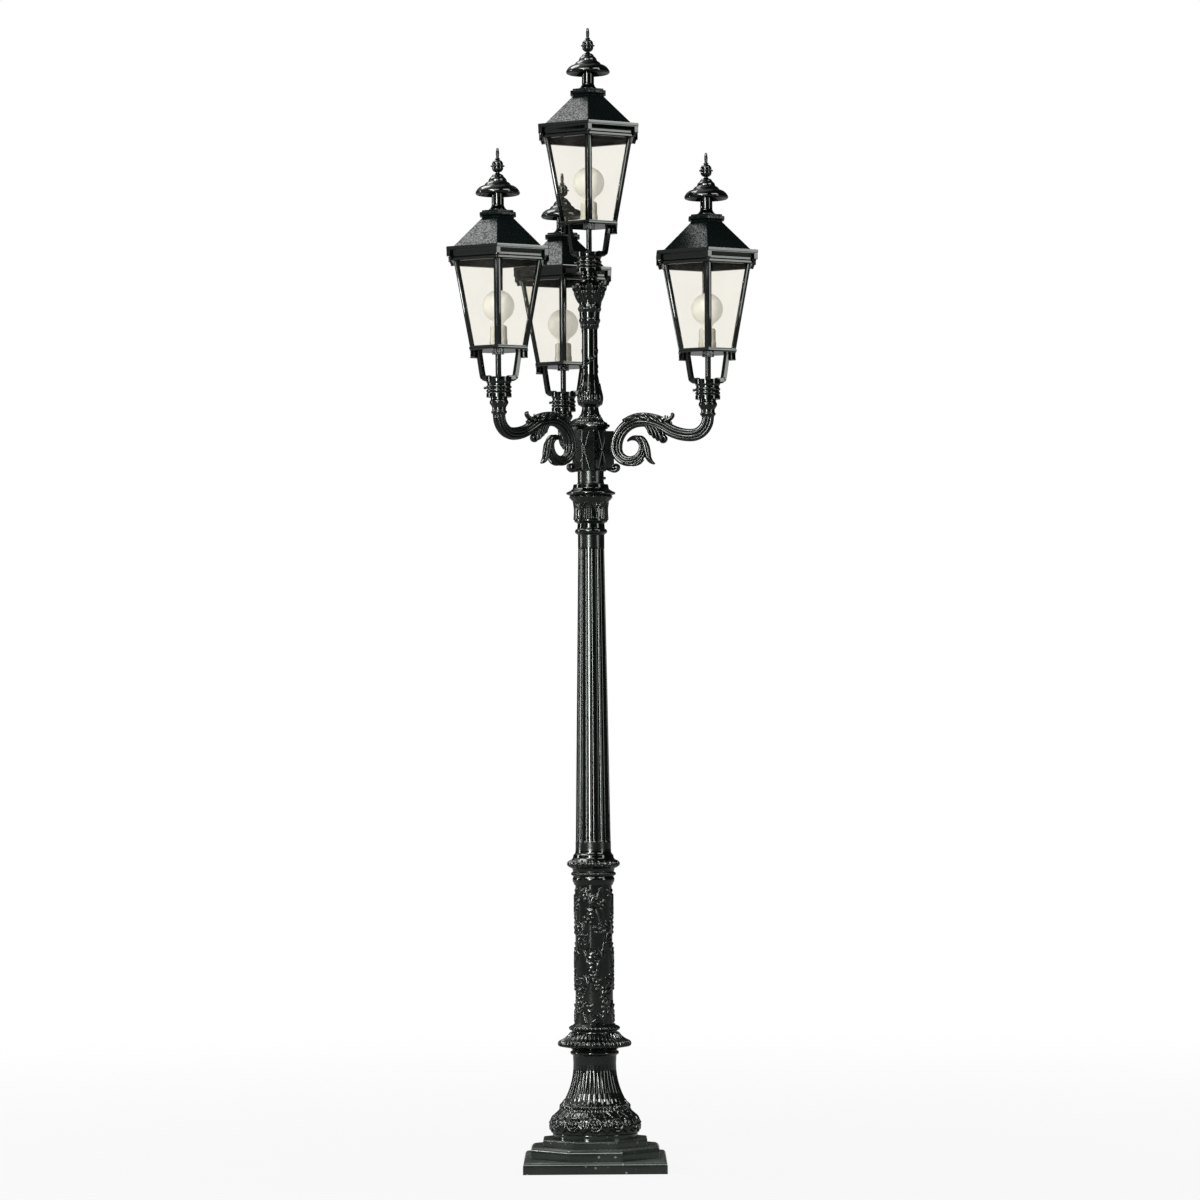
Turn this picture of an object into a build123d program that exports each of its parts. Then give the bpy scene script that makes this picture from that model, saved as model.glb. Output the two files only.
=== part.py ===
from build123d import *
import os
from math import atan, cos, degrees, radians, sin, sqrt, tan

# Four-light lamp post: a cast post on a steel core tube, a hexagonal hub with three scroll arms and
# a central riser, and four identical hexagonal lanterns with hinged roofs.
# Millimetres, +Z up, origin on the post axis at the ground. The front looks along +Y.

# Fits
core_clearance = 0.3
spigot_clearance = 0.3
screw_clearance = 0.1
hinge_clearance = 0.05
seat_gap = 0.3
glazing_gap = 0.3

# Anchor plate and core tube
plate_width = 230
plate_thickness = 12
anchor_spacing = 180
anchor_hole_radius = 9
core_radius = 30
core_wall = 3
cable_entry_radius = 24

# Base plinth: a square step and two octagonal tiers, widths across the flats
plinth_width = 430
plinth_height = 35
plinth_edge_radius = 12
lower_tier_width = 388
lower_tier_height = 35
lower_tier_edge_radius = 16
upper_tier_width = 313
upper_tier_height = 21
upper_tier_edge_radius = 5
plinth_seat_radius = 128
plinth_seat_height = 18
plinth_wall = 26
plinth_roof = 12

# Turned castings: the radius at the foot, then each moulding as its rise,
# its radius at the top and how far it swells outward between the two
bell_foot_radius = 133
bell_mouldings = [
    (9, 133, 0),
    (43, 121, 6),
    (12, 107, 0),
    (6, 103, 0),
    (11, 103, 0),
    (7, 97, 0),
    (134, 65.4, -10.7),
    (24, 67, 5.5),
]
bell_wall = 14
leaf_collar_foot_radius = 67
leaf_collar_mouldings = [
    (6, 73, 0),
    (6, 102, 0),
    (18, 97, 5),
    (24, 67.5, -3),
    (4, 67.5, 0),
    (16, 66, 8.5),
    (5, 62, 0),
]
drum_foot_radius = 59
drum_mouldings = [(418, 56.5, 0)]
drum_collar_foot_radius = 58.5
drum_collar_mouldings = [
    (6, 60, 0),
    (20, 60, 3.5),
    (14, 62, 5),
    (9, 64, 0),
    (8, 74, 0),
    (14, 73, 4.5),
    (10, 62, 0),
    (10, 60, 0),
    (12, 54, -2),
    (6, 53.5, 0),
]
capital_foot_radius = 39.7
capital_mouldings = [
    (4, 42, 0),
    (16, 42, 7),
    (16, 40.5, 0),
    (6, 52, 0),
    (6, 52, 0),
    (24, 50.3, 0),
    (25, 53, -1.5),
    (12, 59.6, 0),
    (6, 64.3, 0),
    (6, 62.8, 0),
    (4, 74.5, 0),
    (5, 74, 0),
    (5, 63, 0),
    (6, 55, 0),
    (13, 52.6, 0),
]
riser_foot_radius = 29
riser_mouldings = [
    (12, 26, 0),
    (9, 24.6, 0),
    (8, 34, 0),
    (37, 35, 3),
    (37, 27.6, -0.5),
    (18, 24.5, 0),
    (137, 24.5, 0),
    (20, 30, 0),
    (14, 30, 2.5),
    (18, 31, 0),
    (22, 31, 2.5),
    (5, 31, 0),
]
riser_capital_foot_radius = 31
riser_capital_mouldings = [
    (12, 36, 0),
    (45, 48, -2),
    (3, 46, 0),
    (5, 27, 0),
    (8, 22, 0),
    (14, 25, 2.8),
    (8, 24.7, 0),
]

# Fluted column
column_foot_radius = 53.5
column_top_radius = 40
column_foot_height = 19
column_fluted_height = 891
column_top_height = 37
flute_count = 16
flute_depth = 4
flute_radius = 9

# Hub: a sleeve over the core tube under a hexagonal box with a flat pad for each arm
sleeve_radius = 39.7
sleeve_height = 40
sleeve_ledge = 10
sleeve_screw_angles = (-77, 13)
hub_radius = 52
hub_height = 127
hub_pad_width = 22
hub_cavity_apothem = 34
hub_rib_width = 6
hub_rib_height = 2
hub_boss_radius = 6
hub_boss_height = 4
wire_way_radius = 12
hub_cap_radius = 62
hub_cap_plate_height = 14
hub_cap_foot_radius = 50
hub_cap_mouldings = [
    (7, 47, 0),
    (15, 34, -2),
    (10, 29, 0),
]

# Scroll arms, in the plane of each arm: reach from the post axis and height above the hub's underside
arm_angles = {"right": -17, "rear": 103, "left": 223}
arm_reach = 370
arm_radius = 19
elbow_radius = 52
trough_depth = 48
limb_radius = 80
limb_reach = 82
scroll_height = 70
scroll_radius = 42
curl_radius = 28
curl_turn = 140
curl_tip_radius = 5
scroll_sections = 14
arm_leaf_thickness = 24
foot_margin = 3
foot_scroll_radius = 10
foot_scroll_reach = 78
foot_scroll_height = 8
arm_bolt_heights = (32, 108)
arm_bolt_radius = 5
arm_bolt_depth = 14
arm_bolt_head_radius = 9
arm_bolt_head_height = 6.5

# Leaves of an arm, each an arc through three points and the rest of its edge: the crest leaf from the
# top of the tube at the hump, the under leaf from the tube's underside there, the tail leaf from the
# scroll's outer side
crest_leaf_arc = [(-36, -14), (16, 6), (76, -7)]
crest_leaf_edge = [(94, 2), (101, -2), (90, -24), (40, -25)]
under_leaf_arc = [(50, -44), (67, -51), (80, -38)]
under_leaf_edge = [(80, -8), (40, 8), (12, 6), (26, -26)]
tail_leaf_arc = [(8, 0), (16, -34), (35, -51)]
tail_leaf_edge = [(26, -56), (13, -54), (-12, -36)]

# Beaded spigot at each arm's end
spigot_straight = 2
spigot_mouldings = [
    (3, 20.5, 0),
    (10, 20.5, 3.2),
    (9, 20.8, 0),
    (8, 25.5, 0),
    (14, 25, 2.8),
    (8, 24.7, 0),
]
tenon_radius = 23
tenon_height = 44

# Lantern cradle: a ringed collar with three legs
collar_foot_radius = 37.5
collar_mouldings = [
    (11, 37.5, 0),
    (3, 34.8, 0),
    (9, 34.8, 3),
    (3, 34.5, 0),
    (9, 34.5, 3.5),
    (6, 34.8, 0),
    (4, 37.7, 0),
    (15, 37.7, 0),
]
collar_screw_angles = (-60, 60, 180)
collar_screw_height = 28
leg_angles = (-90, 30, 150)
leg_width = 17
leg_thickness = 18
leg_foot_reach = 63
leg_top_reach = 79
leg_bend_radius = 16
leg_rise = 138
leg_root = 54
leg_root_depth = 14
block_width = 40
block_depth = 26
block_height = 15
screw_radius = 3
screw_head_radius = 4
screw_head_height = 7
screw_head_gap = 1

# Lantern body, hexagon sizes to the corners, with one corner to the front
corner_turn = 30
tray_radius = 100
tray_thickness = 12
stem_hole_radius = 8
glazing_height = 250
bar_foot_radius = 98
bar_top_radius = 150
bar_width = 12
bar_thickness = 6
pane_thickness = 4
pane_corner_gap = 2
cornice_opening_radius = 137
cornice_bead_radius = 157
cornice_bead_height = 10
cornice_cove_radius = 160
cornice_fascia_radius = 172
cornice_fascia_height = 22
cornice_radius = 175
cornice_plate_height = 10

# Roof, ventilator and finial
roof_radius = 149.5
roof_top_radius = 53
roof_height = 90
roof_wall = 5
crown_foot_radius = 52
crown_radius = 62
crown_cove_height = 7
crown_cove_radius = 60
crown_band_height = 10
crown_top_radius = 54
crown_top_height = 6
vent_hole_radius = 12
ventilator_foot_radius = 28
ventilator_mouldings = [
    (4, 28, 0),
    (18, 17.6, -3),
    (22, 17.6, 0),
    (4, 60, 0),
    (8, 66, 2),
    (20, 43, 4),
    (1, 40, 0),
    (10, 30, 1.5),
    (1, 28, 0),
    (14, 19, 2),
    (9, 9, 2),
]
finial_foot_radius = 9
finial_mouldings = [
    (3, 6.5, 0),
    (9, 6.5, 0),
    (9, 14, 2.5),
    (2, 18.5, 0),
    (5, 18.5, 1.5),
    (2, 14, 0),
    (9, 6.5, 2.5),
    (3, 5.2, 0),
    (36, 3.7, 0),
]

# Roof hinge, on one rear side of each lantern
hinge_angles = {"top": 60, "right": 60, "left": 120, "rear": 120}
hinge_pin_radius = 2.5
knuckle_radius = 6
knuckle_length = 16
knuckle_gap = 0.5
knuckle_lift = 6.5
hinge_setback = 8.5
hinge_web_depth = 16

# Lamp
holder_radius = 26.5
holder_height = 64
holder_edge_radius = 6
holder_socket_depth = 30
socket_clearance = 0.5
bulb_cap_radius = 13.5
bulb_neck_radius = 19
bulb_radius = 47.5
bulb_height = 122

# Terminal block on the core tube, inside the pedestal
terminal_width = 44
terminal_depth = 34
terminal_height = 60
terminal_lift = 24
terminal_strap_thickness = 4

# Angle from a corner to the middle of the next side of a hexagon and of an octagon
hexagon_half = 180 / 6
octagon_half = 180 / 8

# Derived heights of the post's pieces
core_bore = core_radius + core_clearance


def rise_of(mouldings):
    """Height of a stack of mouldings."""
    return sum(rise for rise, radius, swell in mouldings)


plinth_top = plinth_height + lower_tier_height + upper_tier_height + plinth_seat_height
bell_top = plinth_top + rise_of(bell_mouldings)
leaf_collar_top = bell_top + rise_of(leaf_collar_mouldings)
drum_top = leaf_collar_top + rise_of(drum_mouldings)
drum_collar_top = drum_top + rise_of(drum_collar_mouldings)
column_top = drum_collar_top + column_foot_height + column_fluted_height + column_top_height
capital_top = column_top + rise_of(capital_mouldings)
hub_bottom = capital_top + sleeve_height
hub_top = hub_bottom + hub_height
hub_cap_top = hub_top + hub_cap_plate_height + rise_of(hub_cap_mouldings)
riser_top = hub_cap_top + rise_of(riser_mouldings)
top_seat = riser_top + rise_of(riser_capital_mouldings)

# Derived places along an arm
hub_pad_reach = hub_radius - hub_pad_width / 2 / tan(radians(2 * hexagon_half))
hump_reach = limb_reach + limb_radius
hump_height = scroll_height + limb_radius
trough_height = hump_height - trough_depth
trough_reach = arm_reach - elbow_radius
elbow_top = trough_height + elbow_radius
spigot_bottom = elbow_top + spigot_straight
arm_seat = hub_bottom + spigot_bottom + rise_of(spigot_mouldings)

# Derived heights in a lantern, from the underside of its collar
tray_top = leg_rise + tray_thickness
cornice_bottom = tray_top + glazing_height
cornice_top = cornice_bottom + cornice_bead_height + cornice_fascia_height + cornice_plate_height
roof_bottom = cornice_top + seat_gap
roof_top = roof_bottom + roof_height
crown_top = roof_top + crown_cove_height + crown_band_height + crown_top_height
ventilator_top = crown_top + rise_of(ventilator_mouldings)
collar_height = rise_of(collar_mouldings)
hinge_reach = roof_radius * cos(radians(hexagon_half)) + hinge_setback
hinge_height = cornice_top + knuckle_lift
hinge_length = 3 * knuckle_length + 2 * knuckle_gap


def level(height, centre=(0, 0), angle=0):
    """Horizontal plane at a height over a centre, its X turned to the angle."""
    heading = (cos(radians(angle)), sin(radians(angle)), 0)
    return Plane(origin=(centre[0], centre[1], height), x_dir=heading, z_dir=(0, 0, 1))


def upright(height, centre=(0, 0), angle=0):
    """Vertical plane through a centre: its X points outward at the angle, its Y up from the height."""
    heading = (cos(radians(angle)), sin(radians(angle)), 0)
    facing = (sin(radians(angle)), -cos(radians(angle)), 0)
    return Plane(origin=(centre[0], centre[1], height), x_dir=heading, z_dir=facing)


def facing_out(reach, height, angle, centre=(0, 0)):
    """Vertical plane at a reach from a centre, facing outward at the angle."""
    heading = (cos(radians(angle)), sin(radians(angle)), 0)
    place = (centre[0] + reach * heading[0], centre[1] + reach * heading[1], height)
    return Plane(origin=place, z_dir=heading, x_dir=(-heading[1], heading[0], 0))


def draw_mouldings(foot_radius, mouldings, bore):
    """Draw the closed outline of a turned piece from its bore to its mouldings."""
    radius = foot_radius
    height = 0
    Line((bore, 0), (radius, 0))
    for rise, next_radius, swell in mouldings:
        run = sqrt((next_radius - radius) ** 2 + rise**2)
        middle_radius = (radius + next_radius) / 2 + swell * rise / run
        middle_height = height + rise / 2 - swell * (next_radius - radius) / run
        if swell:
            ThreePointArc((radius, height), (middle_radius, middle_height), (next_radius, height + rise))
        else:
            Line((radius, height), (next_radius, height + rise))
        radius = next_radius
        height = height + rise
    Line((radius, height), (bore, height))
    Line((bore, height), (bore, 0))


def turn(foot_radius, mouldings, bore, bottom, centre=(0, 0)):
    """Revolve a stack of mouldings about the vertical through a centre, inside the current part."""
    with BuildSketch(upright(bottom, centre)) as profile:
        with BuildLine():
            draw_mouldings(foot_radius, mouldings, bore)
        make_face()
    revolve(profile.sketch, axis=Axis((centre[0], centre[1], bottom), (0, 0, 1)))


def hexagon_stack(steps, bottom, centre, angle=0):
    """Stack six-sided frusta, each a rise with its lower and upper corner radius."""
    height = bottom
    for rise, lower_radius, upper_radius in steps:
        with BuildSketch(level(height, centre, angle)) as lower:
            RegularPolygon(lower_radius, 6)
        with BuildSketch(level(height + rise, centre, angle)) as upper:
            RegularPolygon(upper_radius, 6)
        loft([lower.sketch, upper.sketch], ruled=True)
        height = height + rise


def save(piece, name):
    """Label a finished piece and write it as one STEP file."""
    piece.part.label = name
    export_step(piece.part, f"parts/{name}.step")


os.makedirs("parts", exist_ok=True)

# Anchor plate
with BuildPart() as anchor_plate:
    with BuildSketch(Plane.XY):
        Rectangle(plate_width, plate_width)
        with GridLocations(anchor_spacing, anchor_spacing, 2, 2):
            Circle(anchor_hole_radius, mode=Mode.SUBTRACT)
        Circle(cable_entry_radius, mode=Mode.SUBTRACT)
    extrude(amount=plate_thickness)
save(anchor_plate, "anchor_plate")

# Core tube, from the anchor plate to the ledge inside the hub's sleeve
core_top = hub_bottom - sleeve_ledge
with BuildPart() as core_tube:
    with BuildSketch(level(plate_thickness)):
        Circle(core_radius)
        Circle(core_radius - core_wall, mode=Mode.SUBTRACT)
    extrude(amount=core_top - plate_thickness)
save(core_tube, "core_tube")

# Base plinth, hollow below for the anchor plate and its nuts
with BuildPart() as base_plinth:
    with BuildSketch(Plane.XY):
        Rectangle(plinth_width, plinth_width)
    extrude(amount=plinth_height)
    fillet(base_plinth.faces().sort_by(Axis.Z)[-1].edges(), plinth_edge_radius)
    with BuildSketch(level(plinth_height)):
        RegularPolygon(lower_tier_width / 2, 8, major_radius=False, rotation=octagon_half)
    extrude(amount=lower_tier_height)
    fillet(base_plinth.faces().sort_by(Axis.Z)[-1].edges(), lower_tier_edge_radius)
    with BuildSketch(level(plinth_height + lower_tier_height)):
        RegularPolygon(upper_tier_width / 2, 8, major_radius=False, rotation=octagon_half)
    extrude(amount=upper_tier_height)
    fillet(base_plinth.faces().sort_by(Axis.Z)[-1].edges(), upper_tier_edge_radius)
    with BuildSketch(level(plinth_top - plinth_seat_height)):
        Circle(plinth_seat_radius)
    extrude(amount=plinth_seat_height)
    with BuildSketch(Plane.XY):
        RegularPolygon(lower_tier_width / 2 - plinth_wall, 8, major_radius=False, rotation=octagon_half)
    extrude(amount=plinth_height + lower_tier_height - plinth_roof, mode=Mode.SUBTRACT)
    with BuildSketch(Plane.XY):
        Circle(core_bore)
    extrude(amount=plinth_top, mode=Mode.SUBTRACT)
save(base_plinth, "base_plinth")

# Pedestal bell, hollow around the terminal block
bell_neck_radius = bell_mouldings[-1][1]
bell_height = bell_top - plinth_top
with BuildPart() as pedestal_bell:
    turn(bell_foot_radius, bell_mouldings, core_bore, plinth_top)
    with BuildSketch(upright(plinth_top)):
        with BuildLine():
            Polyline(
                (core_bore, 0),
                (bell_foot_radius - bell_wall, 0),
                (bell_neck_radius - bell_wall, bell_height / 2),
                (core_bore, bell_height / 2),
                close=True,
            )
        make_face()
    revolve(axis=Axis.Z, mode=Mode.SUBTRACT)
save(pedestal_bell, "pedestal_bell")

# Terminal block with its strap round the core tube
terminal_reach = core_bore + terminal_strap_thickness
terminal_bottom = plinth_top + terminal_lift
with BuildPart() as terminal_block:
    with BuildSketch(level(terminal_bottom)):
        Circle(terminal_reach)
        with Locations((0, (terminal_reach + terminal_depth) / 2)):
            Rectangle(terminal_width, terminal_reach + terminal_depth)
        Circle(core_bore, mode=Mode.SUBTRACT)
    extrude(amount=terminal_height)
save(terminal_block, "terminal_block")

# Leaf collar, drum and drum collar
with BuildPart() as leaf_collar:
    turn(leaf_collar_foot_radius, leaf_collar_mouldings, core_bore, bell_top)
save(leaf_collar, "leaf_collar")

with BuildPart() as shaft_drum:
    turn(drum_foot_radius, drum_mouldings, core_bore, leaf_collar_top)
save(shaft_drum, "shaft_drum")

with BuildPart() as drum_collar:
    turn(drum_collar_foot_radius, drum_collar_mouldings, core_bore, drum_top)
save(drum_collar, "drum_collar")

# Fluted column: plain ends and a tapering fluted length
flutes_bottom = drum_collar_top + column_foot_height
flutes_top = flutes_bottom + column_fluted_height
with BuildPart() as fluted_column:
    with BuildSketch(level(drum_collar_top)):
        Circle(column_foot_radius)
    extrude(amount=column_foot_height)
    for flute_level, shaft_radius in ((flutes_bottom, column_foot_radius), (flutes_top, column_top_radius)):
        taper = shaft_radius / column_foot_radius
        with BuildSketch(level(flute_level)):
            Circle(shaft_radius)
            with PolarLocations(shaft_radius + (flute_radius - flute_depth) * taper, flute_count):
                Circle(flute_radius * taper, mode=Mode.SUBTRACT)
    loft(ruled=True)
    with BuildSketch(level(flutes_top)):
        Circle(column_top_radius)
    extrude(amount=column_top_height)
    with BuildSketch(level(drum_collar_top)):
        Circle(core_bore)
    extrude(amount=column_top - drum_collar_top, mode=Mode.SUBTRACT)
save(fluted_column, "fluted_column")

with BuildPart() as capital:
    turn(capital_foot_radius, capital_mouldings, core_bore, column_top)
save(capital, "capital")

# Hub: sleeve, hexagonal box, arm pads, cross-ribbed panels and the bolt holes of the arms
first_arm_angle = arm_angles["right"]
hub_apothem = hub_radius * cos(radians(hexagon_half))
hub_screw_height = capital_top + sleeve_height / 2
panel_width = hub_radius - hub_pad_width / 2 / cos(radians(hexagon_half)) - hub_rib_width
panel_height = hub_height - 2 * hub_rib_width
with BuildPart() as arm_hub:
    with BuildSketch(level(capital_top)):
        Circle(sleeve_radius)
    extrude(amount=sleeve_height)
    with BuildSketch(level(hub_bottom, angle=first_arm_angle)):
        RegularPolygon(hub_radius, 6)
    extrude(amount=hub_height)
    for arm_angle in arm_angles.values():
        with BuildSketch(facing_out(hub_pad_reach, hub_bottom + hub_height / 2, arm_angle)):
            Rectangle(hub_radius, hub_height)
        extrude(amount=hub_radius, mode=Mode.SUBTRACT)
        for side in (-1, 1):
            panel = facing_out(hub_apothem, hub_bottom + hub_height / 2, arm_angle + side * hexagon_half)
            panel_shift = side * (hub_radius - panel_width) / 2 - side * hub_rib_width / 2
            lean = atan(panel_width / panel_height)
            rib_length = panel_height / cos(lean)
            with BuildSketch(panel):
                with Locations((panel_shift, 0)):
                    Rectangle(hub_rib_width, rib_length, rotation=degrees(lean))
                    Rectangle(hub_rib_width, rib_length, rotation=-degrees(lean))
            extrude(amount=hub_rib_height)
            with BuildSketch(panel):
                with Locations((panel_shift, 0)):
                    Circle(hub_boss_radius)
            extrude(amount=hub_boss_height)
    with BuildSketch(level(capital_top)):
        Circle(core_bore)
    extrude(amount=sleeve_height - sleeve_ledge, mode=Mode.SUBTRACT)
    with BuildSketch(level(capital_top)):
        Circle(core_radius - core_wall)
    extrude(amount=sleeve_height, mode=Mode.SUBTRACT)
    with BuildSketch(level(hub_bottom, angle=first_arm_angle)):
        RegularPolygon(hub_cavity_apothem, 6, major_radius=False, rotation=hexagon_half)
    extrude(amount=hub_height, mode=Mode.SUBTRACT)
    for arm_angle in arm_angles.values():
        for bolt_height in arm_bolt_heights:
            with BuildSketch(facing_out(0, hub_bottom + bolt_height, arm_angle)):
                Circle(arm_bolt_radius + screw_clearance)
            extrude(amount=hub_radius, mode=Mode.SUBTRACT)
    for screw_angle in sleeve_screw_angles:
        with BuildSketch(facing_out(0, hub_screw_height, screw_angle)):
            Circle(screw_radius + screw_clearance)
        extrude(amount=sleeve_radius, mode=Mode.SUBTRACT)
save(arm_hub, "arm_hub")

# Hub cap: a hexagonal plate under a turned dome
with BuildPart() as hub_cap:
    with BuildSketch(level(hub_top, angle=first_arm_angle)):
        RegularPolygon(hub_cap_radius, 6)
        Circle(wire_way_radius, mode=Mode.SUBTRACT)
    extrude(amount=hub_cap_plate_height)
    turn(hub_cap_foot_radius, hub_cap_mouldings, wire_way_radius, hub_top + hub_cap_plate_height)
save(hub_cap, "hub_cap")

# Riser and the capital that carries the top lantern on its tenon
with BuildPart() as riser:
    turn(riser_foot_radius, riser_mouldings, wire_way_radius, hub_cap_top)
save(riser, "riser")

tenon_moulding = [(tenon_height, tenon_radius, 0)]
with BuildPart() as riser_capital:
    turn(riser_capital_foot_radius, riser_capital_mouldings, wire_way_radius, riser_top)
    turn(tenon_radius, tenon_moulding, wire_way_radius, top_seat)
save(riser_capital, "riser_capital")


def scroll_station(step):
    """Reach, height, heading and radius at one step of the scroll, from the limb to the curl's tip."""
    total_turn = 180 + curl_turn
    turned = total_turn * step / scroll_sections
    if turned <= 180:
        middle = limb_reach + scroll_radius
        bend = scroll_radius
    else:
        middle = limb_reach + 2 * scroll_radius - curl_radius
        bend = curl_radius
    bearing = radians(180 + turned)
    place = (middle + bend * cos(bearing), scroll_height + bend * sin(bearing))
    heading = (-sin(bearing), cos(bearing))
    thickness = arm_radius + (curl_tip_radius - arm_radius) * step / scroll_sections
    return place, heading, thickness


def draw_leaf(root, arc_points, edge_points):
    """Draw one flat leaf about its root: an arc, then the straight edges that close it."""
    with BuildLine() as leaf:
        outer = ThreePointArc(*[(root[0] + reach, root[1] + rise) for reach, rise in arc_points])
        Polyline(outer @ 1, *[(root[0] + reach, root[1] + rise) for reach, rise in edge_points], outer @ 0)
    make_face(leaf.edges())


def scroll_plane(side, place, heading):
    """Plane across the scroll at a place in an arm's side plane, facing along its heading."""
    start = side.from_local_coords(place)
    ahead = side.from_local_coords((place[0] + heading[0], place[1] + heading[1]))
    return Plane(origin=start, z_dir=ahead - start, x_dir=side.z_dir)


def build_arm(name, angle):
    """Build one scroll arm with its foot, scroll, leaves, spigot and tenon."""
    side = upright(hub_bottom, angle=angle)
    inward = -side.x_dir
    down = Vector(0, 0, -1)
    spigot_centre = (arm_reach * cos(radians(angle)), arm_reach * sin(radians(angle)))
    inflection = ((trough_reach + hump_reach) / 2, (trough_height + hump_height) / 2)
    with BuildPart() as arm:
        with BuildLine(side):
            Line((arm_reach, spigot_bottom), (arm_reach, elbow_top))
            TangentArc((arm_reach, elbow_top), (trough_reach, trough_height), tangent=down)
            rise = TangentArc((trough_reach, trough_height), inflection, tangent=inward)
            TangentArc(inflection, (hump_reach, hump_height), tangent=rise % 1)
            TangentArc((hump_reach, hump_height), (limb_reach, scroll_height), tangent=inward)
        with BuildSketch(level(hub_bottom + spigot_bottom, spigot_centre)):
            Circle(arm_radius)
        sweep()
        for step in range(scroll_sections + 1):
            place, heading, thickness = scroll_station(step)
            with BuildSketch(scroll_plane(side, place, heading)):
                Circle(thickness)
        loft(ruled=True)
        with BuildSketch(side):
            draw_leaf((hump_reach, hump_height + arm_radius), crest_leaf_arc, crest_leaf_edge)
            draw_leaf((hump_reach, hump_height - arm_radius), under_leaf_arc, under_leaf_edge)
            draw_leaf((limb_reach + 2 * scroll_radius, scroll_height), tail_leaf_arc, tail_leaf_edge)
        extrude(amount=arm_leaf_thickness / 2, both=True)
        with BuildSketch(side):
            with BuildLine():
                Polyline(
                    (hub_pad_reach, foot_margin),
                    (hub_pad_reach, hub_height - foot_margin),
                    (limb_reach, hub_height - foot_margin),
                    (limb_reach, foot_margin),
                    close=True,
                )
            make_face()
            with Locations((foot_scroll_reach, foot_scroll_height)):
                Circle(foot_scroll_radius)
        extrude(amount=hub_pad_width / 2, both=True)
        for bolt_height in arm_bolt_heights:
            with BuildSketch(facing_out(hub_pad_reach, hub_bottom + bolt_height, angle)):
                Circle(arm_bolt_radius + screw_clearance)
            extrude(amount=arm_bolt_depth, mode=Mode.SUBTRACT)
        turn(arm_radius, spigot_mouldings, 0, hub_bottom + spigot_bottom, spigot_centre)
        turn(tenon_radius, tenon_moulding, 0, arm_seat, spigot_centre)
    save(arm, f"arm_{name}")
    return spigot_centre


lantern_places = {"top": ((0, 0), top_seat)}
for arm_name, arm_angle in arm_angles.items():
    lantern_places[arm_name] = (build_arm(arm_name, arm_angle), arm_seat)

# Arm bolts, heads inside the hub
with BuildPart() as arm_bolts:
    for arm_angle in arm_angles.values():
        for bolt_height in arm_bolt_heights:
            seat_plane = facing_out(hub_cavity_apothem, hub_bottom + bolt_height, arm_angle)
            with BuildSketch(seat_plane):
                Circle(arm_bolt_radius)
            extrude(amount=hub_pad_reach - hub_cavity_apothem + arm_bolt_depth - seat_gap)
            with BuildSketch(seat_plane):
                RegularPolygon(arm_bolt_head_radius, 6)
            extrude(amount=-arm_bolt_head_height)
save(arm_bolts, "arm_bolts")


def set_screw(inner_reach, outer_reach, height, angle, centre=(0, 0)):
    """Add one radial set screw, from the face that it grips to its head."""
    with BuildSketch(facing_out(inner_reach, height, angle, centre)) as shank:
        Circle(screw_radius)
    extrude(shank.sketch, amount=outer_reach - inner_reach)
    with BuildSketch(facing_out(outer_reach, height, angle, centre)) as head:
        Circle(screw_head_radius)
    extrude(head.sketch, amount=screw_head_height)


# Set screws of the hub's sleeve and of the four lantern collars
with BuildPart() as set_screws:
    for screw_angle in sleeve_screw_angles:
        set_screw(core_radius, sleeve_radius, hub_screw_height, screw_angle)
    for centre, seat in lantern_places.values():
        for screw_angle in collar_screw_angles:
            head_reach = collar_foot_radius + screw_head_gap
            set_screw(tenon_radius, head_reach, seat + collar_screw_height, screw_angle, centre)
save(set_screws, "set_screws")


def build_cradle(name, centre, seat):
    """Build a lantern's ringed collar with its three legs and the blocks under the tray."""
    collar_bore = tenon_radius + spigot_clearance
    with BuildPart() as cradle:
        turn(collar_foot_radius, collar_mouldings, collar_bore, seat, centre)
        for screw_angle in collar_screw_angles:
            with BuildSketch(facing_out(0, seat + collar_screw_height, screw_angle, centre)):
                Circle(screw_radius + screw_clearance)
            extrude(amount=2 * collar_foot_radius, mode=Mode.SUBTRACT)
        for leg_angle in leg_angles:
            with BuildSketch(upright(seat, centre, leg_angle)) as leg:
                with BuildLine():
                    Polyline(
                        (collar_bore + leg_root_depth / 2, leg_root),
                        (leg_foot_reach, leg_root),
                        (leg_top_reach, leg_rise),
                        (leg_top_reach - leg_thickness, leg_rise),
                        (collar_bore + leg_root_depth, collar_height),
                        (collar_bore + leg_root_depth / 2, collar_height),
                        close=True,
                    )
                make_face()
                fillet(leg.vertices().group_by(Axis.Y)[0].sort_by(Axis.X)[-1], leg_bend_radius)
            extrude(amount=leg_width / 2, both=True)
            with BuildSketch(level(seat + leg_rise - block_height, centre, leg_angle)):
                RegularPolygon(tray_radius, 6)
                with Locations((tray_radius - block_depth / 2, 0)):
                    Rectangle(block_depth, block_width, mode=Mode.INTERSECT)
            extrude(amount=block_height)
    save(cradle, f"{name}_cradle")


def build_tray(name, centre, seat):
    """Build a lantern's six-sided floor with the hole for its wires."""
    with BuildPart() as tray:
        with BuildSketch(level(seat + leg_rise, centre, corner_turn)):
            RegularPolygon(tray_radius, 6)
            Circle(stem_hole_radius, mode=Mode.SUBTRACT)
        extrude(amount=tray_thickness)
    save(tray, f"{name}_tray")


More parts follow.
